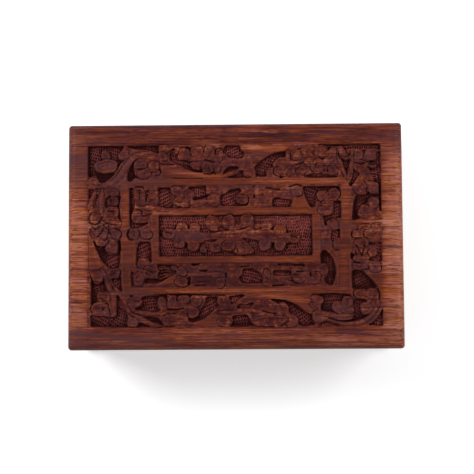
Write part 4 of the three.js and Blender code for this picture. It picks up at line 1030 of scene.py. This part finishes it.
# A lobe's outline lies between an ellipse and a box. Its bowl has fluted gouge marks and each
# third lobe a vein, it tilts one way or another, and it falls off towards its rim
LOBE_POWER = 2.5
BOWL_SHARE, FLUTE_PITCH, FLUTE_DEPTH = 0.85, 1.6, 0.14
VEIN_WIDTH, VEIN_EACH = 0.6, 3
LOBE_LIFT, LOBE_TILT, LOBE_FALL = 0.12, 0.3, 0.35
OUTLINE_WIDTH, OUTLINE_DARK, VEIN_DARK = 0.45, 0.65, 0.5
anchors = np.vstack([np.array([lobe[:2] for lobe in LOBES]),
                     *[pairs(numbers) for _, *numbers in STEMS]])
for number, (x0, y0, length, breadth, turn) in enumerate(LOBES):
    a, b = length / 2, breadth / 2
    part = window(np.array([[x0, y0]]), max(a, b) + 1.5)
    x, y = grid_x[part], grid_y[part]
    cosine, sine = math.cos(math.radians(turn)), math.sin(math.radians(turn))
    u, v = (x - x0) * cosine + (y - y0) * sine, (y - y0) * cosine - (x - x0) * sine
    radius = (np.abs(u) / a) ** LOBE_POWER + (np.abs(v) / b) ** LOBE_POWER
    radius = radius ** (1 / LOBE_POWER)
    # No two lobes are cut quite alike
    way = np.arctan2(v / b, u / a)
    radius *= 1 + 0.06 * np.sin(2 * way + 1.3 * number) + 0.05 * np.sin(3 * way + 2.9 * number)
    # A lobe faces away from its stalk, which lies amid what is nearest
    nearest = np.argsort(np.hypot(*(anchors - (x0, y0)).T))[1:4]
    stalk_x, stalk_y = anchors[nearest].mean(0) - (x0, y0)
    stalk_gap = math.hypot(stalk_x, stalk_y)
    to_stalk = ((x - x0) * stalk_x + (y - y0) * stalk_y) / stalk_gap
    aside = ((y - y0) * stalk_x - (x - x0) * stalk_y) / stalk_gap
    facing = to_stalk / np.maximum(np.hypot(x - x0, y - y0), 0.1)
    at_base = ease(0.35, 0.85, facing) * ease(0.35, 0.8, radius)
    radius = radius * (1 + 0.08 * wander(x, y, 2.5, 50) + 0.1 * np.maximum(facing, 0))
    share = ease(1.05, 0.96, radius)
    edge = ease(0.6, 0.86, radius) * ease(1.03, 0.9, radius) * (1 - 0.8 * at_base)
    edge *= 0.35 + 0.85 * ease(-0.5, 0.5, wander(x, y, 4, 58))
    bowl = 1 - np.clip(radius / BOWL_SHARE, 0, 1) ** 2
    vein = (np.clip(1 - np.abs(aside) / VEIN_WIDTH, 0, 1)
            * ease(-0.55, -0.2, to_stalk / min(a, b))
            * ease(1.0, 0.8, radius) * (number % VEIN_EACH == 0))
    flutes = (0.5 - 0.5 * np.cos(2 * math.pi * aside / FLUTE_PITCH)) * (1 + wander(x, y, 5, 60))
    form = (-LEAF_DEPTH + RIM_RISE * edge - LOBE_DISH * bowl - VEIN_DEPTH * vein
            - FLUTE_DEPTH * flutes * bowl + 0.1 * wander(x, y, 1.6, 51)
            + LOBE_LIFT * math.sin(3.7 * number)
            + LOBE_TILT * (u / a * math.sin(2.1 * number) + v / b * math.cos(1.7 * number))
            - LOBE_FALL * ease(0.8, 1.04, radius) * (1 - at_base))
    gap = (radius - 1.05) * min(a, b)
    groove = np.clip(1 - np.abs(gap - 0.1) / OUTLINE_WIDTH, 0, 1) * (1 - share)
    groove = groove * (1 - ground[part])
    groove *= (1 - 0.8 * at_base) * np.clip(0.75 + 0.6 * wander(x, y, 3.5, 54), 0.3, 1)
    lay(height, part, share, form)
    height[part] -= OUTLINE_DEPTH * groove
    ground[part] *= 1 - share
    leaf[part] = np.maximum(leaf[part], share)
    # The rim ring takes the pale rim colour, as rubbing and as painted highlight
    lay(rim, part, share, edge)
    # The outline groove and the vein are painted darker, as painted shade
    darkest = np.maximum(OUTLINE_DARK * groove, VEIN_DARK * vein * share)
    cut[part] = np.maximum(cut[part] * (1 - share), darkest)

# A knife cut is a V, drawn wider and shallower than its numbers say, and painted darker the deeper
# it goes, as painted shade
CUT_HALF_WIDTH, CUT_DEPTH, CUT_DARKNESS = 0.75, 0.7, 0.6
for width, depth, *numbers in CUTS:
    route = smooth_route(numbers)
    part = window(route, width)
    away = line_distance(route, grid_x[part], grid_y[part])[0]
    groove = np.clip(1 - away / (CUT_HALF_WIDTH * width), 0, 1)
    height[part] -= CUT_DEPTH * depth * groove
    cut[part] = np.maximum(cut[part], min(CUT_DARKNESS * depth, 1) * groove)
height *= ease(-BORDER, -0.5 * BORDER, edge_gap)


def blurred(values, cells):
    """Averages over a square round each place, twice."""
    for axis in (0, 1, 0, 1):
        padded = np.pad(values, [(cells + 1, cells) if side == axis else (0, 0)
                                 for side in (0, 1)], mode="edge")
        total = np.cumsum(padded, axis)
        count = 2 * cells + 1
        later = np.take(total, range(count, total.shape[axis]), axis)
        values = (later - np.take(total, range(total.shape[axis] - count), axis)) / count
    return values


# What lies lower than its surroundings, near and wide, is painted darker, as painted shade
# together with the stain that stays there, and what stands higher is painted paler on the rim
# layer, as painted highlight together with rubbing
NEAR_CELLS, WIDE_CELLS = 2, 7
HOLLOW_DARK, DEEP_DARK, UNEVEN_DARK = 0.85, 0.6, 0.2
hollow, deep = blurred(height, NEAR_CELLS) - height, blurred(height, WIDE_CELLS) - height
cut = np.clip(cut + HOLLOW_DARK * ease(0.08, 0.6, hollow) * in_field
              + ground * (DEEP_DARK * ease(0.2, 1, deep) + pocket_shade_and_stain
                          + UNEVEN_DARK * wander(grid_x, grid_y, 3, 62)), 0, 1)
rim = np.maximum(rim, ease(0.02, 0.25, -hollow) * in_field * (1 - 0.7 * ground))
frame_tops = in_field * (1 - leaf) * (1 - ground)

# Where the board is painted paler (above 0) or darker: strength, width, points of the streak. Most
# streaks are the board's own tone; the broad pale ones down the left and right margins are painted
# sheen of the side lamps, and the dark line down the left edge is painted shade
TONES_AND_PAINTED_LIGHT = [
    # The broad pale streaks down the left and right margins are painted sheen
    (0.95, 24, -98,20, -97,-46), (1.05, 17, 96,42, 95,-48), (0.35, 16, 96,3, 95,-18),
    (0.45, 12, 95,-58, 100,-62), (0.3, 8, -96,60, -92,50), (0.5, 1.2, -22,62.6, -9,62.8),
    (-0.3, 8, 52,60, 68,60), (0.8, 1, 18.4,61.8, 24.4,61.8), (0.5, 1.4, 3,63, 13,63),
    (0.27, 20, -90,61, 90,61), (0.37, 16, -90,-61, 90,-61), (0.3, 8, -30,-58, 20,-60, 60,-61),
    (0.3, 7, 60,-63, 98,-63), (-0.6, 1.6, -84,62.6, -70,62.4, -54,61.8),
    (-0.6, 0.7, 48,64.8, 62,64.7), (-0.5, 1.4, 50,61.4, 55,61.3), (-0.5, 1.6, 28,62, 30.4,61.8),
    (-0.5, 0.7, 75,59.4, 90,59.3), (-0.6, 1.2, -88,55.8, -66,55.6, -46,55.2),
    (-0.4, 3, -60,66, -20,66.4), (-0.4, 2, 5,60, 45,59.6),
    (-0.5, 2.4, -97,-57.4, -80,-58.4, -60,-60.6, -44,-62.6, -28,-65, -8,-66.4),
    (-0.7, 0.9, 60,-56.8, 74,-56.9), (-0.5, 1.2, 75,-59, 79,-59.2), (-0.6, 0.8, 87,26, 98,26),
    (0.5, 1, -20,-61.6, 30,-61.2, 70,-62.4), (-0.4, 0.8, -10,-58.6, 60,-58.2, 90,-60),
    (-0.4, 0.8, -30,-60.2, 40,-62.8, 90,-64.4), (0.8, 3, -48,14.6, -18,14.6),
    (0.9, 2.6, 5,53, 12,52.8), (0.6, 3, 14,52.6, 28,52), (0.9, 3, -35,38.4, -24,36.6, -12,35.6),
    (0.8, 2, -44,53, -39,52.6), (0.7, 1.4, -20,54, -10,54), (0.6, 4, -65.6,-2, -65.6,29),
    (0.6, 5, 66,9, 66,29), (0.3, 2, -6,33, 58,32.2), (-0.5, 3, -60,32, -40,32.2),
    (-0.4, 2.4, -10,29, 18,29), (0.5, 4, 38,19, 42,21), (0.3, 4, 48,-12, 48,11),
    (0.5, 2, -40,-32.4, 38,-32.6), (0.5, 4, 78,8, 86,8), (0.3, 2.4, -40,-14.6, 0,-14.4),
    (0.7, 2.8, 2,-14.4, 46,-14.4), (0.4, 3, -8,32.4, 60,32.4), (0.4, 3, -60,-32.4, 0,-32.4),
    (0.2, 4, 0,-32.4, 60,-32.4), (0.5, 2.4, 2,14.6, 44,14.6), (0.4, 5, -86,14, -82,-14),
    (0.5, 3, -86.5,18, -83,27), (0.5, 3, -79.5,14, -79.4,26), (0.6, 2.4, -34,19.6, -19,21),
    (0.6, 3, -56,17, -44,16), (0.7, 3, -8,2.4, 2,2.2, 14,1.4), (0.5, 3, -54,37.6, -53,38.4),
    (0.6, 2, -56,48, -47,46.6), (0.4, 5, 12,5, 24,4), (0.4, 4, -31.6,6.6, -24,7),
    (0.5, 4, 20,-36, 38,-38), (-0.5, 3, -24,-27.2, -14,-27.6), (0.8, 3, -9.2,-27, -8.4,-29),
    (0.6, 3, -42,-27, -38,-25.4), (-0.8, 5, -24,-27, -15,-27.2), (-0.4, 16, -54,-23, -8,-23),
    (-0.3, 16, -60,-45, -8,-45), (-0.25, 16, 4,-23, 50,-23), (-0.2, 16, -58,44, -6,44),
    (-0.3, 22, -76,-26, -76,26), (0.5, 4, -80,-18, -83,-4), (0.4, 4, 64,-30, 64,-12),
    # The first of these is painted shade down the left edge
    (-0.6, 1.6, -100,64, -100,-64), (0.3, 2.4, 97,40, 97,-55), (-0.7, 3, -55,35, -45,35),
    (-0.5, 4, -4,32, 2,32), (0.5, 4, -80,8, -77,8), (0.5, 5, 76,2, 83,8),
    (-0.9, 4, -62,2, -59,1.6), (0.6, 4, -30,53, -26,53), (0.7, 6, -78,-36, -74,-39),
    (0.5, 5, 73,-9, 76,-11), (0.6, 4, 9,-46, 14,-46), (0.5, 5, -78,8, -74,8),
    (0.5, 4, 57,-49, 62,-49), (0.6, 4, -22,56, -16,56), (0.5, 4, 8,-19, 14,-19),
    (0.4, 4, -15,-37, -10,-37), (0.4, 6, -95,-62, -92,-65), (0.5, 3, 53,0, 53,4),
    (0.5, 4, -33,-43, -28,-43), (-0.5, 3, -18,-1, -13,-1), (-0.4, 4, -86,-43, -83,-43),
    (-0.5, 3, -72,-33.6, -52,-33.4),
]
# Where a pocket's floor is painted darker (above 0) or paler, in the same way
POCKET_FLOOR_DARKER = [
    (0.38, 8, -46,-9, -40,-9), (0.4, 8, 39,-9, 46,-9), (0.15, 6, 8,-9, 18,-9),
    (0.3, 5, 42,0, 42,-1), (-0.35, 6, -16,8, 20,8), (-0.25, 6, 28,8, 44,8),
    (0.4, 5, -86,38, -83,38), (0.4, 4, 76,-31, 79,-30), (0.4, 4, 71,14, 71,20),
    (0.4, 4, -44,2, -42,3), (0.4, 4, -61,43, -60,40), (0.4, 5, -79,-9, -78,-12),
    (0.4, 4, 0,-52, 5,-52), (-0.3, 4, -68,-39, -66,-42),
]
# Where the board runs greyer and more purple, in the same way
BLOOMS = [
    (0.55, 15, -95,64, -95,38), (0.4, 14, -96,-66, -96,-46), (0.25, 10, 96,62, 96,52),
    (0.5, 12, -90,-62, 90,-62), (0.2, 8, -90,61, 90,61),
    (0.9, 2.4, -94,-57.4, -70,-59.2, -48,-61.8, -36,-63.6), (0.6, 5, -92,-63, -60,-64),
    (0.4, 3, 50,61.6, 62,61), (0.6, 1.4, 62,-56.8, 76,-57), (0.5, 8, 94,60, 96,52),
    (0.6, 3, -60,33, -38,32.4), (0.8, 3, -6,29.4, 18,29.2), (0.8, 6, 36,26, 37,26),
    (0.6, 12, -78,4, -77,-6), (0.6, 11, -84,46, -76,46), (0.5, 7, -76,31, -68,33),
    (0.6, 6, -60,2, -54,0), (0.8, 4, 50,-5.4, 56,-5.4), (0.6, 5, -39,1, -24,0.6),
    (0.5, 6, 18,-6, 20,-6), (0.5, 6, 84,40, 84,16), (0.4, 8, 52,-42, 66,-42),
    (0.3, 12, -60,33, -76,40), (0.6, 5, 50,5.4, 64,5.6), (0.4, 8, 70,47, 82,47),
    (0.3, 3, -14,47, -8,42), (0.5, 4, -30,-21, -12,-22), (0.5, 5, 36,-20, 40,-24),
    (0.5, 7, -80,-40, -76,-44), (0.5, 5, 5,47, 14,47.6), (0.7, 4, -62,-49, -59,-50),
    (0.4, 6, -95,-57, -93,-60), (0.4, 7, -94,30, -94,35), (0.7, 5, 83,-21, 83,-17),
    (0.6, 4, 49,-49, 60,-49), (0.5, 5, 57,-43, 62,-43), (0.4, 4, -64,-18, -64,-13),
    (0.6, 4, 46,-8, 48,-6), (0.4, 5, 89,55, 89,50), (0.4, 4, -45,-40, -41,-40),
    (0.7, 4, -70,-34, -52,-34), (0.6, 8, 72,-50, 84,-48), (0.4, 4, -84,56, -74,56),
    (0.5, 4, -68,-45, -66,-47), (0.5, 6, 77,-24, 77,-18), (0.5, 6, -78,-50, -66,-50),
    (-0.5, 5, -22,-28, -16,-28), (-0.5, 6, -7,20, -1,20), (-0.5, 4, -30,11, -25,10),
    (-0.5, 5, 8,-31, 14,-31),
]


# Streaks along the grain die away slowly at their ends, and their sides are ragged along it
END_FADE = 0.3
RAGGED = 0.15


def streaks_at(streaks, x, y):
    """How strongly a list of streaks shows at some places."""
    total = np.zeros(x.shape)
    for strength, width, *numbers in streaks:
        route = smooth_route(numbers)
        low, high = route.min(0), route.max(0)
        squeeze = END_FADE if high[0] - low[0] > high[1] - low[1] else 1
        near = ((x > low[0] - width / squeeze - 1) & (x < high[0] + width / squeeze + 1)
                & (y > low[1] - width - 1) & (y < high[1] + width + 1))
        away = line_distance(route * (squeeze, 1), x[near] * squeeze, y[near])[0]
        away += min(0.2 * width, 0.6) * wander(x[near] * RAGGED, y[near], 1.3, 55)
        total[near] += strength * ease(0.75 * width, 0.2 * width, away)
    return total


# The blank: rounded over at its upper edge with a 5 mm cutter, and sunk below for the lining
# and the hinges
lid_bottom, lid_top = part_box("lid_board")[0].z / MM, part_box("lid_board")[1].z / MM
CORNER_STEPS, EDGE_STEPS = 6, 8
SIDE_STEP = 1.5
# Above the seam the blank is open, and closed with the rounded edge and the carved face
SEAM = lid_top - EDGE_RADIUS - 1.0
# The corners, seen from above, sharpen a little as the edge rounds over
CORNER_FALL, LEAST_CORNER = 0.3, 0.5


def outline(inset, level, radius):
    """One ring round the lid, with points along its sides as well."""
    corners = []
    for quarter, (sx, sy) in enumerate([(1, 1), (-1, 1), (-1, -1), (1, -1)]):
        for step in range(CORNER_STEPS + 1):
            angle = (quarter + step / CORNER_STEPS) * math.pi / 2
            corners.append((sx * (LID_HALF_X - inset - radius) + radius * math.cos(angle),
                            sy * (LID_HALF_Y - inset - radius) + radius * math.sin(angle), level))
    ring = []
    for number, spot in enumerate(corners):
        ring.append(spot)
        if number % (CORNER_STEPS + 1) == CORNER_STEPS:
            after = corners[(number + 1) % len(corners)]
            side = LID_HALF_X if number % (2 * CORNER_STEPS + 2) == CORNER_STEPS else LID_HALF_Y
            pieces = int(2 * side / SIDE_STEP)
            ring += [tuple(np.array(spot) + (np.array(after) - spot) * piece / pieces)
                     for piece in range(1, pieces)]
    return ring


def ring_verts(work, ring):
    """A ring's points, in millimetres, as new points of a mesh."""
    return [work.verts.new(Vector(spot) * MM) for spot in ring]


def bridge(work, low, high):
    """Joins two rings of points with a band of faces."""
    for side in range(len(low)):
        after = (side + 1) % len(low)
        work.faces.new([low[side], low[after], high[after], high[side]])


lid_work = bmesh.new()
foot = ring_verts(lid_work, outline(ARRIS, lid_bottom, PLAN_RADIUS))
lip = ring_verts(lid_work, outline(0, lid_bottom + ARRIS, PLAN_RADIUS))
seam = ring_verts(lid_work, outline(0, SEAM, PLAN_RADIUS))
bridge(lid_work, foot, lip)
bridge(lid_work, lip, seam)
lid_work.faces.new(seam)
lid_work.faces.new(foot[::-1])
# The recess for the lining, and for each hinge a seat for its leaf and room for its barrel.
# Each hollow starts below the board, so that it is cut clean through the underside
RECESS_X, RECESS_Y, RECESS_DEPTH = 87.0, 54.5, 2.0
SEAT_HALF, SEAT_FRONT, SEAT_DEPTH = 12.8, 57.45, 1.35
BARREL_FRONT, BARREL_ROOM = 62.45, 2.8
hollows = [((-RECESS_X, -RECESS_Y, lid_bottom - 1),
            (RECESS_X, RECESS_Y, lid_bottom + RECESS_DEPTH))]
for side in ("left", "right"):
    low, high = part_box(f"{side}_hinge_lid_leaf")
    centre = (low.x + high.x) / 2 / MM
    hollows.append(((centre - SEAT_HALF, SEAT_FRONT, lid_bottom - 1),
                    (centre + SEAT_HALF, LID_HALF_Y - 1, lid_bottom + SEAT_DEPTH)))
    hollows.append(((centre - SEAT_HALF, BARREL_FRONT, lid_bottom - 1.5),
                    (centre + SEAT_HALF, LID_HALF_Y + 1, lid_bottom + BARREL_ROOM)))
lid_work = cut_away(lid_work, [(Vector(low) * MM, Vector(high) * MM, 0)
                               for low, high in hollows])
roof = [f for f in lid_work.faces
        if f.normal.z > 0.9 and f.calc_center_median().z > (SEAM - 0.1) * MM]
bmesh.ops.delete(lid_work, geom=roof, context="FACES_ONLY")

rings = [ring_verts(lid_work, outline(0, SEAM, PLAN_RADIUS))]
for step in range(EDGE_STEPS + 1):
    angle = step / EDGE_STEPS * math.pi / 2
    inset = EDGE_RADIUS * (1 - math.cos(angle))
    level = lid_top - EDGE_RADIUS * (1 - math.sin(angle))
    radius = max(PLAN_RADIUS - CORNER_FALL * inset, LEAST_CORNER)
    rings.append(ring_verts(lid_work, outline(inset, level, radius)))
for low_ring, high_ring in zip(rings, rings[1:]):
    bridge(lid_work, low_ring, high_ring)

rows, columns = height.shape
places = np.stack([grid_x, grid_y, lid_top + height], -1).reshape(-1, 3) * MM
field = [lid_work.verts.new(spot) for spot in places]
for i in range(rows - 1):
    for k in range(i * columns, i * columns + columns - 1):
        lid_work.faces.new([field[k], field[k + 1], field[k + columns + 1], field[k + columns]])
lid_work.verts.ensure_lookup_table()
margin_edges = [e for e in lid_work.edges
                if e.is_boundary and all(abs(v.co.z - lid_top * MM) < SAME_PLACE
                                         for v in e.verts)]
bmesh.ops.triangle_fill(lid_work, use_beauty=True, edges=margin_edges, normal=(0, 0, 1))
bmesh.ops.remove_doubles(lid_work, dist=WELD * MM,
                         verts=[v for v in lid_work.verts if v.co.z < (SEAM + 0.01) * MM])
bmesh.ops.recalc_face_normals(lid_work, faces=lid_work.faces)

# The frames stand highest, and are rubbed to a warmer brown. The leaves keep a red brown stain,
# and their rims are painted paler, as rubbing and as painted highlight. The pockets' floors are
# bare wood, mottled where the stain took unevenly, and wherever a tool went deep they are painted
# near black, as painted shade
FRAME_WARM = "#7c3a1e"
LEAF_BROWN = "#501e1c"
RIM_PALE = "#8c4630"
GROUND_STAIN = [(0.38, "#5c2522"), (0.5, "#7c3a37"), (0.64, "#a6534e")]
SHADE_AND_STAIN_DARK = "#1c0001"
PURPLE_BLOOM = "#5a3436"
# Spots 1.4 mm long and 0.9 mm wide on the lid of 200 by 135 mm
STAIN_BUMPS = 1000 / 7
# How much duller than the face: the leaves are less rubbed, the pockets neither rubbed nor
# oiled, and the rims are polished
DULLER = (("leaf", 0.12), ("ground", 0.25), ("rim", -0.12), ("cut", 0.1))
LID_PLACE = 1.9


def carved_sheesham():
    """Oiled sheesham whose colour and polish follow how it was cut, with painted shade in its cuts
    and hollows and painted highlight on its rims.
    """
    material, tree = bare_tree("carved_sheesham_lid")
    cut_as = {name: add(tree, "ShaderNodeAttribute", attribute_name=name).outputs["Fac"]
              for name in ("tone", "bloom", "frame", "leaf", "rim", "ground", "cut")}
    colour, grain_height = sheesham_grain(tree, ALONG_X, ALONG_Z, LID_PLACE, cut_as["tone"])
    spots = blotches(tree, STAIN_BUMPS, 3)
    stain = ramp(tree, spots, GROUND_STAIN)
    # The cut layer is painted shade with some stain, and the rim layer is painted highlight with
    # wear
    layers = [("frame", 0.25, linear(FRAME_WARM)), ("leaf", 0.35, linear(LEAF_BROWN)),
              ("rim", 0.3, linear(RIM_PALE)), ("ground", 0.75, stain),
              ("bloom", 0.5, linear(PURPLE_BLOOM)), ("cut", 0.93, linear(SHADE_AND_STAIN_DARK))]
    for name, most, shade in layers:
        amount = add(tree, "ShaderNodeMath", {1: most}, {0: cut_as[name]}, operation="MULTIPLY")
        colour = covered(tree, amount, colour, shade)
    relief = bumped(tree, PORE_RELIEF, PORE_DEPTH, grain_height)
    roughness = OILED_ROUGHNESS
    for name, duller in DULLER:
        roughness = scaled_sum(tree, cut_as[name], duller, roughness, use_clamp=True)
    wood = add(tree, "ShaderNodeBsdfPrincipled", {"IOR": WOOD_IOR, "Base Color": colour,
                                                  "Roughness": roughness, "Normal": relief,
                                                  "Specular IOR Level": 0.08})
    return finished(material, wood)


lid = new_piece("carved_sheesham_lid", lid_work, carved_sheesham(), "lid",
                ["lid_board"], SOFT_CREASE)
# What each place of the lid is, and how dark and how purple, goes on its points for the material
spots = np.empty(len(lid.data.vertices) * 3)
lid.data.vertices.foreach_get("co", spots)
spots = spots.reshape(-1, 3) / MM
row = np.searchsorted((upward[1:] + upward[:-1]) / 2, spots[:, 1])
column = np.searchsorted((across[1:] + across[:-1]) / 2, spots[:, 0])
upper_side = spots[:, 2] > SEAM - 0.1
shown = {name: values[row, column] * upper_side for name, values in
         (("frame", frame_tops), ("leaf", leaf), ("rim", rim), ("ground", ground), ("cut", cut))}
x, y = spots[:, 0], spots[:, 1]
# Handling has polished some edges more than others, and their painted highlight varies with it
shown["rim"] = shown["rim"] * np.clip(0.5 + 0.8 * wander(x, y, 2, 63), 0, 1)
mottled = 0.6 * wander(x, y, 2.6, 56) + 0.7 * wander(x, y, 0.9, 61) - 0.06
# The tone also carries the painted sheen and shade of the margin streaks
shown["tone"] = streaks_at(TONES_AND_PAINTED_LIGHT, x, y) - 0.25 * shown["frame"] + shown["leaf"] * mottled
shown["bloom"] = (streaks_at(BLOOMS, x, y)
                  + 0.4 * shown["leaf"] * np.maximum(wander(x, y, 3.2, 59), 0))
shown["cut"] = np.clip(shown["cut"] + shown["ground"] * streaks_at(POCKET_FLOOR_DARKER, x, y), 0, 1)
for name, values in shown.items():
    layer = lid.data.attributes.new(name, "FLOAT", "POINT")
    layer.data.foreach_set("value", values.astype(np.float32))


# Studio: a pale floor, two big soft lamps and a bright plain room, with the camera above the
# lid and a little in front of it, as the photograph was taken.
FLOOR_HALF = 3.0
# The floor lies a hair below the baize, so that the two faces don't show through each other
FLOOR_LEVEL = -0.1 * MM
floor_mesh = bpy.data.meshes.new("studio_floor")
floor_mesh.from_pydata([(sx * FLOOR_HALF, sy * FLOOR_HALF, FLOOR_LEVEL)
                        for sx, sy in ((-1, -1), (1, -1), (1, 1), (-1, 1))], [], [(0, 1, 2, 3)])
floor = placed("studio_floor", floor_mesh)
floor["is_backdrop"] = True
FLOOR_SHADE = "#e8e8e8"
# What the camera sees of the floor beyond its own shade, so that it comes out white: less near
# the box, where its shadow stays, and more where the lamps don't reach
NEAR, NEAR_LIFT = 0.22, 0.52
FAR, FAR_LIFT = 0.8, 0.95


def studio_paper():
    """Matt white paper, lifted to white for the camera and for what reflects it."""
    material, tree = bare_tree("studio_paper")
    rays = add(tree, "ShaderNodeLightPath").outputs
    seen = add(tree, "ShaderNodeMath", feeds={0: rays["Is Camera Ray"], 1: rays["Is Glossy Ray"]},
               operation="MAXIMUM")
    seen = add(tree, "ShaderNodeMath", feeds={0: seen, 1: rays["Is Transmission Ray"]},
               operation="MAXIMUM")
    place = add(tree, "ShaderNodeTexCoord").outputs["Object"]
    reach = add(tree, "ShaderNodeVectorMath", feeds={0: place}, operation="LENGTH")
    white = add(tree, "ShaderNodeMapRange", {"From Min": NEAR, "From Max": FAR,
                                             "To Min": NEAR_LIFT, "To Max": FAR_LIFT},
                {"Value": reach.outputs["Value"]})
    lift = add(tree, "ShaderNodeMath", feeds={0: seen, 1: white}, operation="MULTIPLY")
    paper = add(tree, "ShaderNodeBsdfPrincipled",
                {"Base Color": linear(FLOOR_SHADE), "Roughness": 0.9, "Specular IOR Level": 0.1,
                 "Emission Color": (1, 1, 1, 1)}, {"Emission Strength": lift})
    return finished(material, paper)


floor_mesh.materials.append(studio_paper())

# A plain room, brighter round the sides than overhead; the camera sees it white
SIDE_LIGHT, OVERHEAD_LIGHT = 0.6, 0.25
SIDE_GLOSS, OVERHEAD_GLOSS = 0.9, 0.3
OVERHEAD_FROM = 0.8
world = bpy.data.worlds.new("studio_room")
bpy.context.scene.world = world
world.use_nodes = True
tree = world.node_tree
tree.nodes.clear()
rays = add(tree, "ShaderNodeLightPath").outputs
way = add(tree, "ShaderNodeSeparateXYZ",
          feeds={0: add(tree, "ShaderNodeTexCoord").outputs["Generated"]}).outputs["Z"]
lit, gloss = (add(tree, "ShaderNodeMapRange",
                  {"From Max": OVERHEAD_FROM, "To Min": side, "To Max": overhead},
                  {"Value": way})
              for side, overhead in ((SIDE_LIGHT, OVERHEAD_LIGHT), (SIDE_GLOSS, OVERHEAD_GLOSS)))
mirrored = add(tree, "ShaderNodeMath",
               feeds={0: rays["Is Glossy Ray"], 1: rays["Is Transmission Ray"]},
               operation="MAXIMUM")
level = add(tree, "ShaderNodeMix", feeds={"Factor": mirrored, "A": lit, "B": gloss})
level = add(tree, "ShaderNodeMix", {"B": 1.0}, {"Factor": rays["Is Camera Ray"], "A": level})
room = add(tree, "ShaderNodeBackground", {"Color": (1, 1, 1, 1)}, {"Strength": level})
add(tree, "ShaderNodeOutputWorld", feeds={"Surface": room})

# Each lamp's name, place, width and power, and the middle of the box, where both aim
SOFTBOXES = [("left_softbox", (-0.5, 0.22, 0.5), 0.25, 2.75),
             ("right_softbox", (0.52, 0.16, 0.5), 0.3, 2.1)]
LAMP_AIM = Vector((0, 0, 0.03))
for name, place, size, power in SOFTBOXES:
    lamp = bpy.data.lights.new(name, "AREA")
    lamp.shape, lamp.size, lamp.energy = "SQUARE", size, power
    holder = placed(name, lamp)
    holder.location = place
    aim = LAMP_AIM - Vector(place)
    holder.rotation_euler = aim.to_track_quat("-Z", "Y").to_euler()

bpy.context.scene.view_settings.view_transform = "Standard"

# Solved so that the lid's four corners fall where the photograph has them
camera_data = bpy.data.cameras.new("photo_camera")
camera_data.sensor_width = 36
camera_data.lens = 88.9
camera = placed("photo_camera", camera_data)
camera.location = (0.01255, -0.05198, 0.75728)
camera.rotation_euler = [math.radians(angle) for angle in (4.2125, 0.9813, -0.377)]
bpy.context.scene.camera = camera

low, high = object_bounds()
